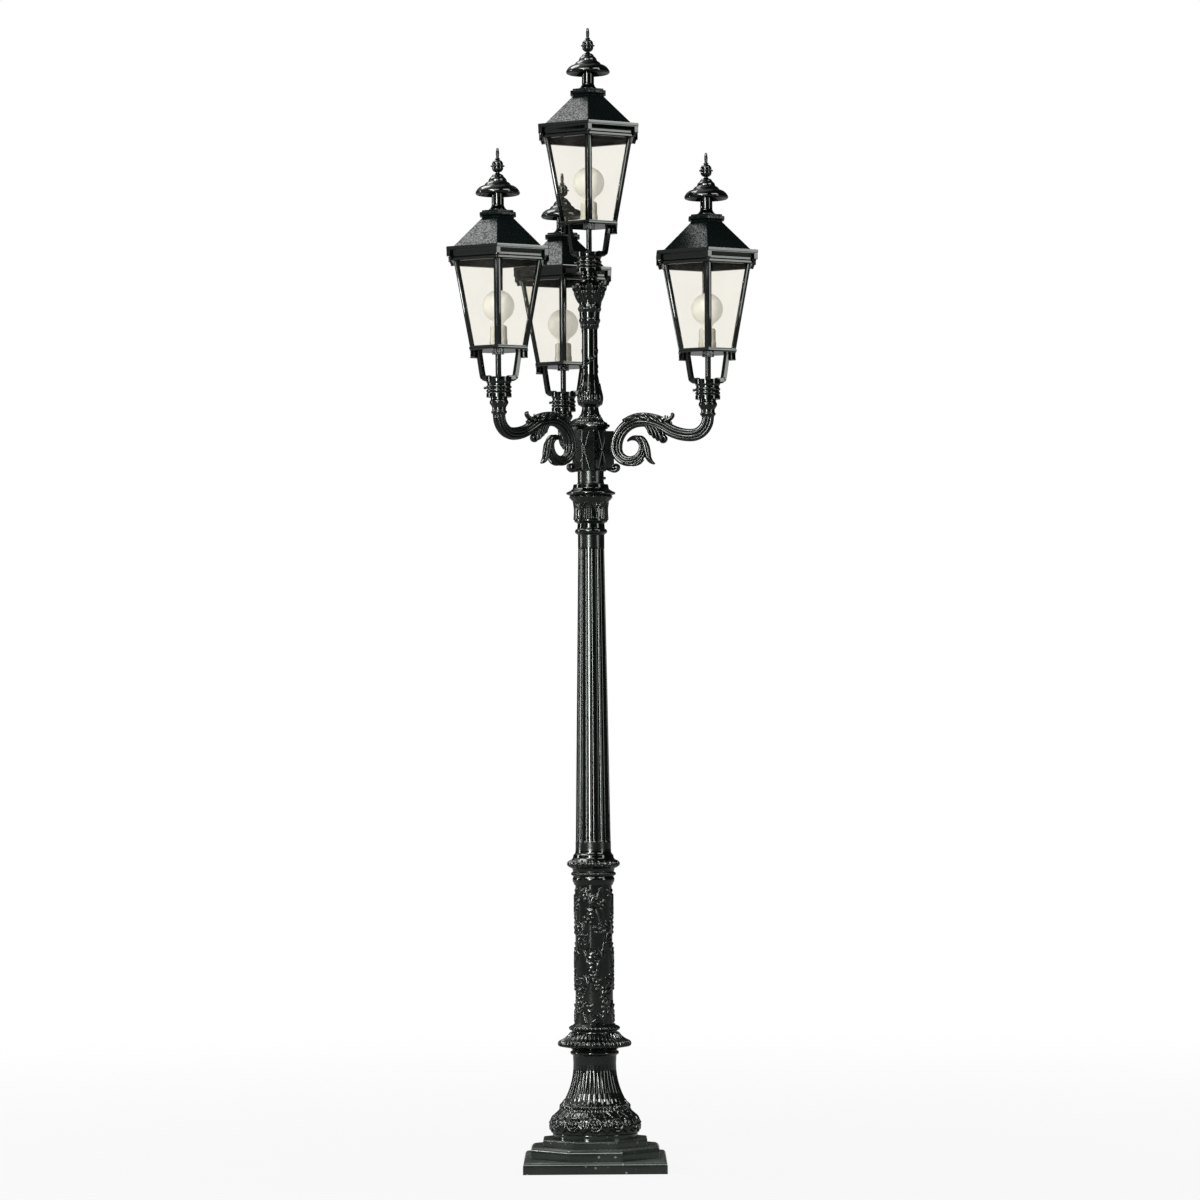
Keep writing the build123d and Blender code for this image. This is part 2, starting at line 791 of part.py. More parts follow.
def draw_bar(corner_radius):
    """Draw the angle section of a glazing bar with its corner on the X axis."""
    along = (-cos(radians(2 * hexagon_half)), sin(radians(2 * hexagon_half)))
    inward = (-sin(radians(2 * hexagon_half)), -cos(radians(2 * hexagon_half)))
    end = (corner_radius + bar_width * along[0], bar_width * along[1])
    inner_end = (end[0] + bar_thickness * inward[0], end[1] + bar_thickness * inward[1])
    inner_corner = (corner_radius - bar_thickness / sin(radians(2 * hexagon_half)), 0)
    with BuildLine() as section:
        Polyline(
            (corner_radius, 0),
            end,
            inner_end,
            inner_corner,
            (inner_end[0], -inner_end[1]),
            (end[0], -end[1]),
            close=True,
        )
    make_face(section.edges())


def build_glazing_bars(name, centre, seat):
    """Build the six leaning corner bars between a lantern's tray and cornice."""
    with BuildPart() as glazing_bars:
        for corner in range(6):
            corner_angle = corner_turn + 2 * hexagon_half * corner
            with BuildSketch(level(seat + tray_top, centre, corner_angle)):
                draw_bar(bar_foot_radius)
            with BuildSketch(level(seat + cornice_bottom, centre, corner_angle)):
                draw_bar(bar_top_radius)
            loft(ruled=True)
    save(glazing_bars, f"{name}_glazing_bars")


def draw_pane(corner_radius):
    """Draw the thin rectangle of a pane behind the bars whose corners lie at a radius."""
    outer_face = corner_radius * cos(radians(hexagon_half)) - bar_thickness - glazing_gap
    half_width = (outer_face - pane_thickness) / cos(radians(hexagon_half)) / 2 - pane_corner_gap
    with Locations((outer_face - pane_thickness / 2, 0)):
        Rectangle(pane_thickness, 2 * half_width)


def build_glass_panes(name, centre, seat):
    """Build the six leaning panes behind a lantern's bars."""
    with BuildPart() as glass_panes:
        for flat in range(6):
            flat_angle = 2 * hexagon_half * flat
            with BuildSketch(level(seat + tray_top, centre, flat_angle)):
                draw_pane(bar_foot_radius)
            with BuildSketch(level(seat + cornice_bottom, centre, flat_angle)):
                draw_pane(bar_top_radius)
            loft(ruled=True)
    save(glass_panes, f"{name}_glass_panes")


def knuckle(side, start, base_reach, base_height):
    """Add one hinge knuckle with its web, from a distance along the hinge."""
    with BuildSketch(side.offset(start)) as profile:
        with BuildLine():
            Polyline(
                (base_reach, base_height),
                (base_reach, hinge_height),
                (hinge_reach, hinge_height),
                (hinge_reach, base_height),
                close=True,
            )
        make_face()
        with Locations((hinge_reach, hinge_height)):
            Circle(knuckle_radius)
    extrude(profile.sketch, amount=knuckle_length)


def bore_hinge(side):
    """Cut the pin's bore through every knuckle of the current part."""
    with BuildSketch(side.offset(-hinge_length / 2)) as bore:
        with Locations((hinge_reach, hinge_height)):
            Circle(hinge_pin_radius + hinge_clearance)
    extrude(bore.sketch, amount=hinge_length, mode=Mode.SUBTRACT)


def build_cornice(name, centre, seat, hinge_side):
    """Build a lantern's moulded top ring with the two fixed hinge knuckles."""
    steps = [
        (cornice_bead_height, cornice_bead_radius, cornice_bead_radius),
        (cornice_fascia_height, cornice_cove_radius, cornice_fascia_radius),
        (cornice_plate_height, cornice_radius, cornice_radius),
    ]
    with BuildPart() as cornice:
        hexagon_stack(steps, seat + cornice_bottom, centre, corner_turn)
        with BuildSketch(level(seat + cornice_bottom, centre, corner_turn)):
            RegularPolygon(cornice_opening_radius, 6)
        extrude(amount=cornice_top - cornice_bottom, mode=Mode.SUBTRACT)
        for start in (-hinge_length / 2, knuckle_length / 2 + knuckle_gap):
            knuckle(hinge_side, start, hinge_reach - knuckle_radius, cornice_top)
        bore_hinge(hinge_side)
    save(cornice, f"{name}_cornice")


def build_roof(name, centre, seat, hinge_side):
    """Build a lantern's hollow six-sided roof with its crown and the moving hinge knuckle."""
    crown = [
        (crown_cove_height, crown_foot_radius, crown_cove_radius),
        (crown_band_height, crown_radius, crown_radius),
        (crown_top_height, crown_top_radius, crown_top_radius),
    ]
    with BuildPart() as roof:
        hexagon_stack([(roof_height, roof_radius, roof_top_radius)], seat + roof_bottom, centre, corner_turn)
        knuckle(hinge_side, -knuckle_length / 2, hinge_reach - hinge_web_depth, roof_bottom)
        for wall_level, wall_radius in ((roof_bottom, roof_radius), (roof_top, roof_top_radius)):
            with BuildSketch(level(seat + wall_level, centre, corner_turn)):
                RegularPolygon(wall_radius - roof_wall, 6)
        loft(ruled=True, mode=Mode.SUBTRACT)
        hexagon_stack(crown, seat + roof_top, centre, corner_turn)
        with BuildSketch(level(seat + roof_top, centre)):
            Circle(vent_hole_radius)
        extrude(amount=crown_top - roof_top, mode=Mode.SUBTRACT)
        bore_hinge(hinge_side)
    save(roof, f"{name}_roof")


def build_lamp(name, centre, seat):
    """Build a lantern's lamp holder and the globe bulb in its socket."""
    socket_radius = bulb_cap_radius + socket_clearance
    with BuildPart() as holder:
        with BuildSketch(level(seat + tray_top, centre)):
            Circle(holder_radius)
        extrude(amount=holder_height)
        fillet(holder.faces().sort_by(Axis.Z)[-1].edges(), holder_edge_radius)
        with BuildSketch(level(seat + tray_top + holder_height, centre)):
            Circle(socket_radius)
        extrude(amount=-holder_socket_depth, mode=Mode.SUBTRACT)
    save(holder, f"{name}_lamp_holder")
    cap_bottom = holder_height - holder_socket_depth
    neck_height = bulb_height - sqrt(bulb_radius**2 - bulb_neck_radius**2)
    with BuildPart() as bulb:
        with BuildSketch(upright(seat + tray_top, centre)):
            with BuildLine():
                Polyline(
                    (0, cap_bottom),
                    (bulb_cap_radius, cap_bottom),
                    (bulb_cap_radius, holder_height),
                    (bulb_neck_radius, neck_height),
                )
                ThreePointArc(
                    (bulb_neck_radius, neck_height),
                    (bulb_radius, bulb_height),
                    (0, bulb_height + bulb_radius),
                )
                Line((0, bulb_height + bulb_radius), (0, cap_bottom))
            make_face()
        revolve(axis=Axis((centre[0], centre[1], seat), (0, 0, 1)))
    save(bulb, f"{name}_globe_bulb")


def build_lantern(name, centre, seat):
    """Build every piece of one lantern that stands on a spigot's seat."""
    hinge_side = upright(seat, centre, hinge_angles[name])
    build_cradle(name, centre, seat)
    build_tray(name, centre, seat)
    build_glazing_bars(name, centre, seat)
    build_glass_panes(name, centre, seat)
    build_cornice(name, centre, seat, hinge_side)
    build_lamp(name, centre, seat)
    build_roof(name, centre, seat, hinge_side)
    with BuildPart() as ventilator:
        turn(ventilator_foot_radius, ventilator_mouldings, 0, seat + crown_top, centre)
    save(ventilator, f"{name}_ventilator")
    with BuildPart() as finial:
        turn(finial_foot_radius, finial_mouldings, 0, seat + ventilator_top, centre)
    save(finial, f"{name}_finial")


for lantern_name, (lantern_centre, lantern_seat) in lantern_places.items():
    build_lantern(lantern_name, lantern_centre, lantern_seat)

# Hinge pins of the four roofs
with BuildPart() as hinge_pins:
    for lantern_name, (lantern_centre, lantern_seat) in lantern_places.items():
        pin_side = upright(lantern_seat, lantern_centre, hinge_angles[lantern_name])
        with BuildSketch(pin_side.offset(-hinge_length / 2)):
            with Locations((hinge_reach, hinge_height)):
                Circle(hinge_pin_radius)
        extrude(amount=hinge_length)
save(hinge_pins, "hinge_pins")
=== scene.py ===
"""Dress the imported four-light lamp post: cast ornament, gloss paint, lamp glass, studio and camera."""
import logging
from dataclasses import dataclass, replace
from enum import Enum
from math import asin, atan2, cos, hypot, pi, radians, sin, sqrt
from typing import Any, Callable, Sequence, Union

import bpy
import numpy as np
from mathutils import Euler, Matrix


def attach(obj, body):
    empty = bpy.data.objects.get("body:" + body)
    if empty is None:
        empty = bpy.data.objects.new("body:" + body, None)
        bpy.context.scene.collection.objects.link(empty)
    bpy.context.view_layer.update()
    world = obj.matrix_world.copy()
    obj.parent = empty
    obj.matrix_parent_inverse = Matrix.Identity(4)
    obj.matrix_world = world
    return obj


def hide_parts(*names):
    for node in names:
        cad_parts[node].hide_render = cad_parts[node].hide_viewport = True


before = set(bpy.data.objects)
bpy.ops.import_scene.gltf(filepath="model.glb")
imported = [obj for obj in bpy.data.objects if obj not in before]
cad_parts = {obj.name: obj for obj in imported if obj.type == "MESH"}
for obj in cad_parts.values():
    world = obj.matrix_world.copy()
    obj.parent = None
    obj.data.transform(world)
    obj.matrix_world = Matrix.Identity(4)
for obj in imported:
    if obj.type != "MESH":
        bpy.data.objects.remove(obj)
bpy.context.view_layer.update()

log = logging.getLogger("lamp_post")

MM = 0.001
WHITE = (1.0, 1.0, 1.0, 1.0)
PRINCIPLED = "ShaderNodeBsdfPrincipled"

# Edges that turn by more than so many degrees stay sharp, on round castings and on flat-sided pieces
ROUNDED = 38.0
FACETED = 15.0

# A corner of an outline that opens wider than this cosine counts as straight
STRAIGHT = -0.94
# A corner's rounding takes at most this share of the runs beside it
CORNER_SHARE = 0.42

Pair = tuple[float, float]
Point = Pair
Points = tuple[Point, ...]
Triple = tuple[float, float, float]
Colour = Triple
Moulding = Triple
Profile = tuple[Moulding, ...]
Outline = Sequence[Point]
Station = tuple[float, float, float, float]
Faces = list[tuple[int, ...]]
Array = np.ndarray
Surface = tuple[Array, Faces]
Lift = Callable[[Array, Array], Array]
Value = Union["Socket", float]


class Body(Enum):
    """The CAD body that carries a piece."""

    POST = "post"
    TOP_LID = "top_lid"
    RIGHT_LID = "right_lid"
    LEFT_LID = "left_lid"
    REAR_LID = "rear_lid"


class Slot(Enum):
    """The record's material slots."""

    CASTING = "painted_casting"
    STEEL = "galvanised_steel"
    CLEAR = "clear_glass"
    OPAL = "opal_glass"
    IVORY = "ivory_holder"
    TERMINAL = "terminal_plastic"


# Node graphs


class Socket:
    """An output socket that takes part in Python expressions."""

    def __init__(self, graph: "Graph", output: bpy.types.NodeSocket) -> None:
        """Keep the graph and the output that this value comes from."""
        self.graph = graph
        self.output = output

    def __add__(self, other: Value) -> "Socket":
        """Sum with a value or a number."""
        return self.graph.math("ADD", self, other)

    def __radd__(self, other: Value) -> "Socket":
        """Sum of a number and this value."""
        return self.graph.math("ADD", other, self)

    def __sub__(self, other: Value) -> "Socket":
        """Difference to a value or a number."""
        return self.graph.math("SUBTRACT", self, other)

    def __rsub__(self, other: Value) -> "Socket":
        """Difference of a number and this value."""
        return self.graph.math("SUBTRACT", other, self)

    def __mul__(self, other: Value) -> "Socket":
        """Product with a value or a number."""
        return self.graph.math("MULTIPLY", self, other)

    def __rmul__(self, other: Value) -> "Socket":
        """Product of a number and this value."""
        return self.graph.math("MULTIPLY", other, self)

    def __truediv__(self, other: Value) -> "Socket":
        """Quotient by a value or a number."""
        return self.graph.math("DIVIDE", self, other)

    def __rtruediv__(self, other: Value) -> "Socket":
        """Quotient of a number by this value."""
        return self.graph.math("DIVIDE", other, self)


class Graph:
    """A node tree that is filled from Python."""

    def __init__(self, tree: bpy.types.NodeTree) -> None:
        """Start from an empty tree."""
        self.tree = tree
        tree.nodes.clear()

    def node(self, kind: str, settings: dict[str, Any] | None = None, **sockets: Any) -> bpy.types.Node:
        """Add a node, set its settings, then its sockets.

        Args:
            kind: The node's type.
            settings: Properties set before any socket.
            sockets: Values or links by input name, spaces written as underscores, or by number as n0, n1.

        Returns:
            The new node.
        """
        node = self.tree.nodes.new(kind)
        for key, value in (settings or {}).items():
            setattr(node, key, value)
        for key, value in sockets.items():
            numbered = key[0] == "n" and key[1:].isdigit()
            plug = node.inputs[int(key[1:]) if numbered else key.replace("_", " ")]
            if isinstance(value, Socket):
                self.tree.links.new(value.output, plug)
            else:
                plug.default_value = value
        return node

    def value(
        self, kind: str, output: str | int = 0, settings: dict[str, Any] | None = None, **sockets: Any,
    ) -> Socket:
        """Add a node and give one of its outputs, by name or number, as a value."""
        return Socket(self, self.node(kind, settings, **sockets).outputs[output])

    def math(self, operation: str, first: Value, second: Value = 0.0) -> Socket:
        """Add a Math node on two operands."""
        return self.value("ShaderNodeMath", 0, {"operation": operation}, n0=first, n1=second)

    def mix(self, share: Value, first: Any, second: Any) -> Socket:
        """Mix two colours, each a value or three numbers, by the share of the second."""
        sides = [(*side, 1.0) if isinstance(side, tuple) else side for side in (first, second)]
        return self.value("ShaderNodeMix", 2, {"data_type": "RGBA"}, n0=share, n6=sides[0], n7=sides[1])


# Finishes


@dataclass(frozen=True)
class Finish:
    """A named surface finish, with its slot in the record, that makes its material once."""

    name: str
    slot: Slot

    def material(self) -> bpy.types.Material:
        """Give the finish's material, made on first use.

        Returns:
            The material.
        """
        found = bpy.data.materials.get(self.name)
        if found is not None:
            return found
        made = bpy.data.materials.new(self.name)
        made.use_nodes = True
        graph = Graph(made.node_tree)
        graph.node("ShaderNodeOutputMaterial", Surface=self.shade(graph))
        return made

    def shade(self, graph: Graph) -> Socket:
        """Add the finish's shader to a graph; each finish has its own."""
        raise NotImplementedError


def place_of(graph: Graph) -> Socket:
    """Object coordinates of the shaded point, in metres."""
    return graph.value("ShaderNodeTexCoord", "Object")


def cloud(graph: Graph, scale: float, detail: float = 2.0) -> Socket:
    """Soft noise near 0.5 over the object, by its cells in a metre and its octaves."""
    return graph.value("ShaderNodeTexNoise", Vector=place_of(graph), Scale=scale, Detail=detail)


def ramp(graph: Graph, share: Value, low: float, high: float) -> Socket:
    """Rise smoothly from 0 where a value is low to 1 where it is high."""
    settings = {"interpolation_type": "SMOOTHSTEP"}
    return graph.value("ShaderNodeMapRange", 0, settings, Value=share, From_Min=low, From_Max=high)


def blotches(graph: Graph, scale: float, detail: float, low: float = 0.35, high: float = 0.7) -> Socket:
    """Noise drawn out into patches of 0 and 1."""
    return ramp(graph, cloud(graph, scale, detail), low, high)


def bumps(
    graph: Graph, scale: float, depth: float, strength: float = 1.0, detail: float = 2.0, **under: Socket,
) -> Socket:
    """Bumps of a depth in metres, by their cells in a metre, on top of a Normal under them."""
    height = cloud(graph, scale, detail)
    return graph.value("ShaderNodeBump", Strength=strength, Distance=depth, Height=height, **under)


@dataclass(frozen=True)
class GlossPaint(Finish):
    """Thick gloss paint on a casting, a little uneven, chipped near the ground, with dust and a painted sky
    reflection on up-facing parts near it; lengths in metres.
    """

    body: Colour
    bloom: Colour
    roughness: float
    peel_scale: float
    peel_depth: float
    lump_scale: float
    lump_depth: float
    patch_scale: float = 7.0
    grain_scale: float = 45.0
    dust: Colour = (0.35, 0.36, 0.33)
    dust_top: float = 0.16
    # Lighter grey on up-facing surfaces near the ground: partly settled dust, partly a painted reflection of
    # the sky on the plinth's treads.
    film: Colour = (0.16, 0.175, 0.16)
    dust_and_sky_sheen_slope: Pair = (0.55, 0.95)
    # Two tones that lighten the paint towards the ground: one over the lowest metre, one over the plinth's
    # foot.
    foot_tone: Colour = (0.030, 0.038, 0.033)
    foot_tone_span: Pair = (0.085, 0.125)
    lower_tone: Colour = (0.0085, 0.0110, 0.0095)
    lower_tone_span: Pair = (0.2, 1.0)
    fleck_scale: float = 46.0
    fleck_rim: Pair = (0.12, 0.2)
    chip_scale: float = 14.0
    chip_spread: Pair = (0.52, 0.58)
    chip_cover: float = 0.75
    specular: float = 0.45
    sheen: Colour = (0.94, 1.0, 0.935)
    varnish: float = 0.0
    dull_bands: tuple[Pair, ...] = ()
    dull_edge: float = 0.004
    dulling: float = 0.16

    def shade(self, graph: Graph) -> Socket:
        """Add the paint's shader.

        Args:
            graph: The material's graph.

        Returns:
            The shader.
        """
        patches = blotches(graph, self.patch_scale, 4.0)
        height = graph.value("ShaderNodeSeparateXYZ", "Z", Vector=place_of(graph))
        low_down = 1.0 - ramp(graph, height, 0.0, self.dust_top)
        flecks = graph.value("ShaderNodeTexVoronoi", Vector=place_of(graph), Scale=self.fleck_scale)
        chipped = blotches(graph, self.chip_scale, 2.0, *self.chip_spread)
        chips = (1.0 - ramp(graph, flecks, *self.fleck_rim)) * chipped * low_down
        # The paint turns lighter towards the bottom of the post.
        lower_toned = (1.0 - ramp(graph, height, *self.lower_tone_span)) * (0.4 + patches * 0.4)
        foot_toned = (1.0 - ramp(graph, height, *self.foot_tone_span)) * (0.45 + patches * 0.5)
        # Painted sky reflection and dust: up-facing surfaces near the ground are mixed toward a lighter
        # grey.
        facing = graph.value("ShaderNodeNewGeometry", "Normal")
        up = graph.value("ShaderNodeSeparateXYZ", "Z", Vector=facing)
        dust_and_sky_sheen = ramp(graph, up, *self.dust_and_sky_sheen_slope) * low_down * (0.5 + patches * 0.4)
        colour = graph.mix(patches, self.body, self.bloom)
        colour = graph.mix(lower_toned, colour, self.lower_tone)
        colour = graph.mix(foot_toned, colour, self.foot_tone)
        colour = graph.mix(dust_and_sky_sheen, colour, self.film)
        colour = graph.mix(chips * self.chip_cover, colour, self.dust)
        grain = cloud(graph, self.grain_scale, 3.0)
        rough = self.roughness + patches * 0.04 + grain * 0.04 + chips * 0.3 + dust_and_sky_sheen * 0.3
        for low, high in self.dull_bands:
            above = ramp(graph, height, low - self.dull_edge, low)
            below = 1.0 - ramp(graph, height, high, high + self.dull_edge)
            rough = rough + above * below * self.dulling
        lumps = bumps(graph, self.lump_scale, self.lump_depth)
        peel = bumps(graph, self.peel_scale, self.peel_depth, detail=1.0, Normal=lumps)
        coat: dict[str, Value] = {}
        if self.varnish:
            coat["Coat_Weight"] = blotches(graph, self.peel_scale, 1.0) * self.varnish
            coat["Coat_Roughness"] = self.roughness
        return graph.value(
            PRINCIPLED, Base_Color=colour, Roughness=rough, Normal=peel,
            Specular_IOR_Level=self.specular, Specular_Tint=(*self.sheen, 1.0), **coat,
        )


@dataclass(frozen=True)
class GalvanisedSteel(Finish):
    """Dull zinc on steel, with its crystal patches."""

    light: Colour
    dark: Colour
    crystal_scale: float

    def shade(self, graph: Graph) -> Socket:
        """Add the zinc's shader.

        Args:
            graph: The material's graph.

        Returns:
            The shader.
        """
        place = place_of(graph)
        crystals = graph.value("ShaderNodeTexVoronoi", "Color", Vector=place, Scale=self.crystal_scale)
        share = graph.value("ShaderNodeSeparateColor", Color=crystals)
        colour = graph.mix(share, self.light, self.dark)
        rough = 0.38 + share * 0.2
        grain = bumps(graph, 400.0, 0.0002, 0.4)
        return graph.value(PRINCIPLED, Base_Color=colour, Roughness=rough, Metallic=0.9, Normal=grain)


@dataclass(frozen=True)
class PaneGlass(Finish):
    """Thin clear glass with a warm tint and a faint uneven film."""

    tint: Colour
    film: Colour
    clean: float
    dirty: float

    def shade(self, graph: Graph) -> Socket:
        """Add the pane's shader.

        Args:
            graph: The material's graph.

        Returns:
            The shader.
        """
        haze = blotches(graph, 11.0, 3.0)
        cover = self.clean + haze * (self.dirty - self.clean)
        rough = 0.03 + haze * 0.05
        streaks = bumps(graph, 18.0, 0.0004, 0.25)
        film = graph.value(PRINCIPLED, Base_Color=(*self.film, 1.0), Roughness=rough, Normal=streaks)
        clear = graph.value("ShaderNodeBsdfTransparent", Color=(*self.tint, 1.0))
        return graph.value("ShaderNodeMixShader", n0=cover, n1=clear, n2=film)


@dataclass(frozen=True)
class MilkGlass(Finish):
    """Opal glass of a globe bulb, a little thinner and warmer in places, with a painted glow that lifts its
    shaded side.
    """

    milk: Colour
    warm: Colour
    # Strength of an emission that paints light into the globe, lifting its shaded side.
    painted_glow: float

    def shade(self, graph: Graph) -> Socket:
        """Add the opal glass's shader.

        Args:
            graph: The material's graph.

        Returns:
            The shader.
        """
        rim = graph.value("ShaderNodeLayerWeight", "Facing", Blend=0.35)
        clouds = blotches(graph, 26.0, 3.0, 0.3, 0.75)
        colour = graph.mix(rim * 0.8 + clouds * 0.15, self.milk, self.warm)
        rough = 0.4 + clouds * 0.1
        # The emission is painted light that evens out the globe's shading.
        return graph.value(
            PRINCIPLED, Base_Color=colour, Roughness=rough,
            Emission_Color=(*self.milk, 1.0), Emission_Strength=self.painted_glow,
        )


@dataclass(frozen=True)
class MouldedPlastic(Finish):
    """Moulded plastic with a slight grain and aged patches."""

    fresh: Colour
    aged: Colour
    roughness: float

    def shade(self, graph: Graph) -> Socket:
        """Add the plastic's shader.

        Args:
            graph: The material's graph.

        Returns:
            The shader.
        """
        age = blotches(graph, 30.0, 3.0, 0.3, 0.75)
        colour = graph.mix(age, self.fresh, self.aged)
        rough = self.roughness + age * 0.1
        grain = bumps(graph, 900.0, 0.0002, 0.3)
        return graph.value(PRINCIPLED, Base_Color=colour, Roughness=rough, Normal=grain)


CASTING = GlossPaint(
    "casting_gloss_paint", Slot.CASTING, (0.0009, 0.0021, 0.0019), (0.0020, 0.0040, 0.0037), roughness=0.07,
    peel_scale=240.0, peel_depth=0.000004, lump_scale=24.0, lump_depth=0.0003,
    dull_bands=((0.957, 0.981), (1.872, 1.908), (2.062, 2.102)),
)
SATIN = replace(CASTING, name="arm_satin_paint", roughness=0.13)
ROOF = GlossPaint(
    "roof_hammered_paint", Slot.CASTING, (0.0036, 0.0072, 0.0066), (0.0054, 0.0100, 0.0092), roughness=0.22,
    peel_scale=170.0, peel_depth=0.0009, lump_scale=40.0, lump_depth=0.0002, specular=0.04, varnish=0.34,
)
ZINC = GalvanisedSteel("zinc_on_steel", Slot.STEEL, (0.5, 0.51, 0.52), (0.34, 0.35, 0.36), 160.0)
PANE = PaneGlass("pane_glass", Slot.CLEAR, (0.974, 0.967, 0.946), (0.8, 0.77, 0.7), 0.006, 0.022)
OPAL = MilkGlass("opal_globe_glass", Slot.OPAL, (0.7, 0.692, 0.634), (0.58, 0.56, 0.46), 0.55)
IVORY = MouldedPlastic("ivory_lamp_holder", Slot.IVORY, (0.97, 0.96, 0.88), (0.8, 0.78, 0.62), 0.3)
TERMINAL = MouldedPlastic("terminal_plastic", Slot.TERMINAL, (0.03, 0.03, 0.03), (0.05, 0.05, 0.05), 0.5)


# Meshes, in millimetres until they become pieces


def stand(name: str, data: bpy.types.ID) -> bpy.types.Object:
    """Put data into the scene as an object.

    Args:
        name: The object's name.
        data: Its mesh, curve, light or camera.

    Returns:
        The object.
    """
    made = bpy.data.objects.new(name, data)
    bpy.context.scene.collection.objects.link(made)
    return made


class Shell:
    """A growing mesh of closed surfaces whose faces all point outward."""

    def __init__(self) -> None:
        """Start empty."""
        self.points: list[Array] = []
        self.faces: Faces = []
        self.count = 0

    def take(self, points: Array, faces: Faces) -> "Shell":
        """Join a surface as it is.

        Args:
            points: Its points.
            faces: Its faces, which already point outward.

        Returns:
            This shell.
        """
        self.faces.extend(tuple(self.count + index for index in face) for face in faces)
        self.points.append(points)
        self.count += len(points)
        return self

    def add(self, surface: Surface) -> "Shell":
        """Join one closed surface, turned right side out.

        Args:
            surface: Its points and faces.

        Returns:
            This shell.
        """
        points, faces = np.asarray(surface[0], dtype=float), surface[1]
        if signed_volume(points, faces) < 0:
            faces = [tuple(reversed(face)) for face in faces]
        return self.take(points, faces)

    def join(self, other: "Shell") -> "Shell":
        """Join another shell."""
        return self.take(*other.surface())

    def surface(self) -> Surface:
        """All points and faces as one surface."""
        return np.concatenate(self.points), list(self.faces)

    def placed(self, angle: float = 0.0, centre: Point = (0.0, 0.0), lift: float = 0.0) -> "Shell":
        """Give a copy turned about the vertical and then moved.

        Args:
            angle: Turn in degrees.
            centre: Where the turned origin goes, in plan.
            lift: How far up it goes.

        Returns:
            The copy.
        """
        points, faces = self.surface()
        turn = radians(angle)
        moved = np.column_stack((
            points[:, 0] * cos(turn) - points[:, 1] * sin(turn) + centre[0],
            points[:, 0] * sin(turn) + points[:, 1] * cos(turn) + centre[1],
            points[:, 2] + lift,
        ))
        return Shell().take(moved, faces)

    def mesh(self, name: str, sharp: float = ROUNDED) -> bpy.types.Mesh:
        """Make a smooth-shaded mesh in metres.

        Args:
            name: The mesh's name.
            sharp: Edges that turn by more than this many degrees stay sharp.

        Returns:
            The mesh.
        """
        points, faces = self.surface()
        mesh = bpy.data.meshes.new(name)
        mesh.from_pydata((points * MM).tolist(), [], faces)
        mesh.polygons.foreach_set("use_smooth", [True] * len(mesh.polygons))
        mesh.set_sharp_from_angle(angle=radians(sharp))
        mesh.update()
        return mesh

    def piece(
        self, name: str, *nodes: str, finish: Finish = CASTING,
        body: Body = Body.POST, sharp: float = ROUNDED,
    ) -> None:
        """Make a finished piece that stands for CAD nodes.

        Args:
            name: The piece's name.
            nodes: The CAD nodes that it replaces.
            finish: Its surface.
            body: The body that it rides on.
            sharp: Edges that turn by more than this many degrees stay sharp.
        """
        made = stand(name, self.mesh(name, sharp))
        made.data.materials.append(finish.material())
        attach(made, body.value)
        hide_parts(*nodes)
        log.info("%s: %d faces for %s", name, len(made.data.polygons), ", ".join(nodes))


def signed_volume(points: Array, faces: Faces) -> float:
    """Measure the inside of a closed surface.

    Args:
        points: The surface's points.
        faces: Its faces.

    Returns:
        Six times the volume, negative where the surface is inside out.
    """
    fans = [(face[0], face[i], face[i + 1]) for face in faces for i in range(1, len(face) - 1)]
    corners = points[np.array(fans)]
    return float(np.einsum("ij,ij->i", corners[:, 0], np.cross(corners[:, 1], corners[:, 2])).sum())


class RoundRing:
    """A round section of a turned piece."""

    def __init__(self, segments: int) -> None:
        """Divide the circle."""
        self.angles = np.arange(segments) * 2 * pi / segments

    def spread(self, radius: Array) -> tuple[Array, Array]:
        """Coordinates across and along of one ring for each row of radii."""
        return radius * np.cos(self.angles), radius * np.sin(self.angles)


class CornerRing:
    """A regular section with softened corners; a radius is measured to the corner."""

    def __init__(self, sides: int, first: float, soften: float) -> None:
        """Keep the corner count, the first corner's angle in degrees and the corners' softening."""
        self.sides, self.soften = sides, soften
        self.angles = np.repeat(radians(first) + np.arange(sides) * 2 * pi / sides, 3)

    def spread(self, radius: Array) -> tuple[Array, Array]:
        """Coordinates of one ring for each radius.

        Args:
            radius: Radii, of which the first column counts.

        Returns:
            Across and along coordinates.
        """
        radius = radius[:, :1]
        half = pi / self.sides
        cut = np.minimum(self.soften, radius * sin(half) * 0.45)
        side = np.tile((-1.0, 0.0, 1.0), self.sides)
        inset = np.where(side == 0, cut * cos(half) * 0.5, cut * sin(half))
        reach = radius - inset
        slide = np.where(side == 0, 0.0, cut * cos(half)) * side
        return (
            reach * np.cos(self.angles) - slide * np.sin(self.angles),
            reach * np.sin(self.angles) + slide * np.cos(self.angles),
        )


def hexagon(soften: float) -> CornerRing:
    """Section of a lantern, with a flat side toward the front and its corners softened."""
    return CornerRing(6, 30, soften)


def grid_faces(rows: int, columns: int, wrap_rows: bool, wrap_columns: bool) -> Faces:
    """Quads of a grid of points.

    Args:
        rows: Rows of points.
        columns: Points in a row.
        wrap_rows: Whether the last row joins the first.
        wrap_columns: Whether each row closes.

    Returns:
        The quads.
    """
    faces = []
    for row in range(rows if wrap_rows else rows - 1):
        here, above = row * columns, (row + 1) % rows * columns
        for column in range(columns if wrap_columns else columns - 1):
            after = (column + 1) % columns
            faces.append((here + column, here + after, above + after, above + column))
    return faces


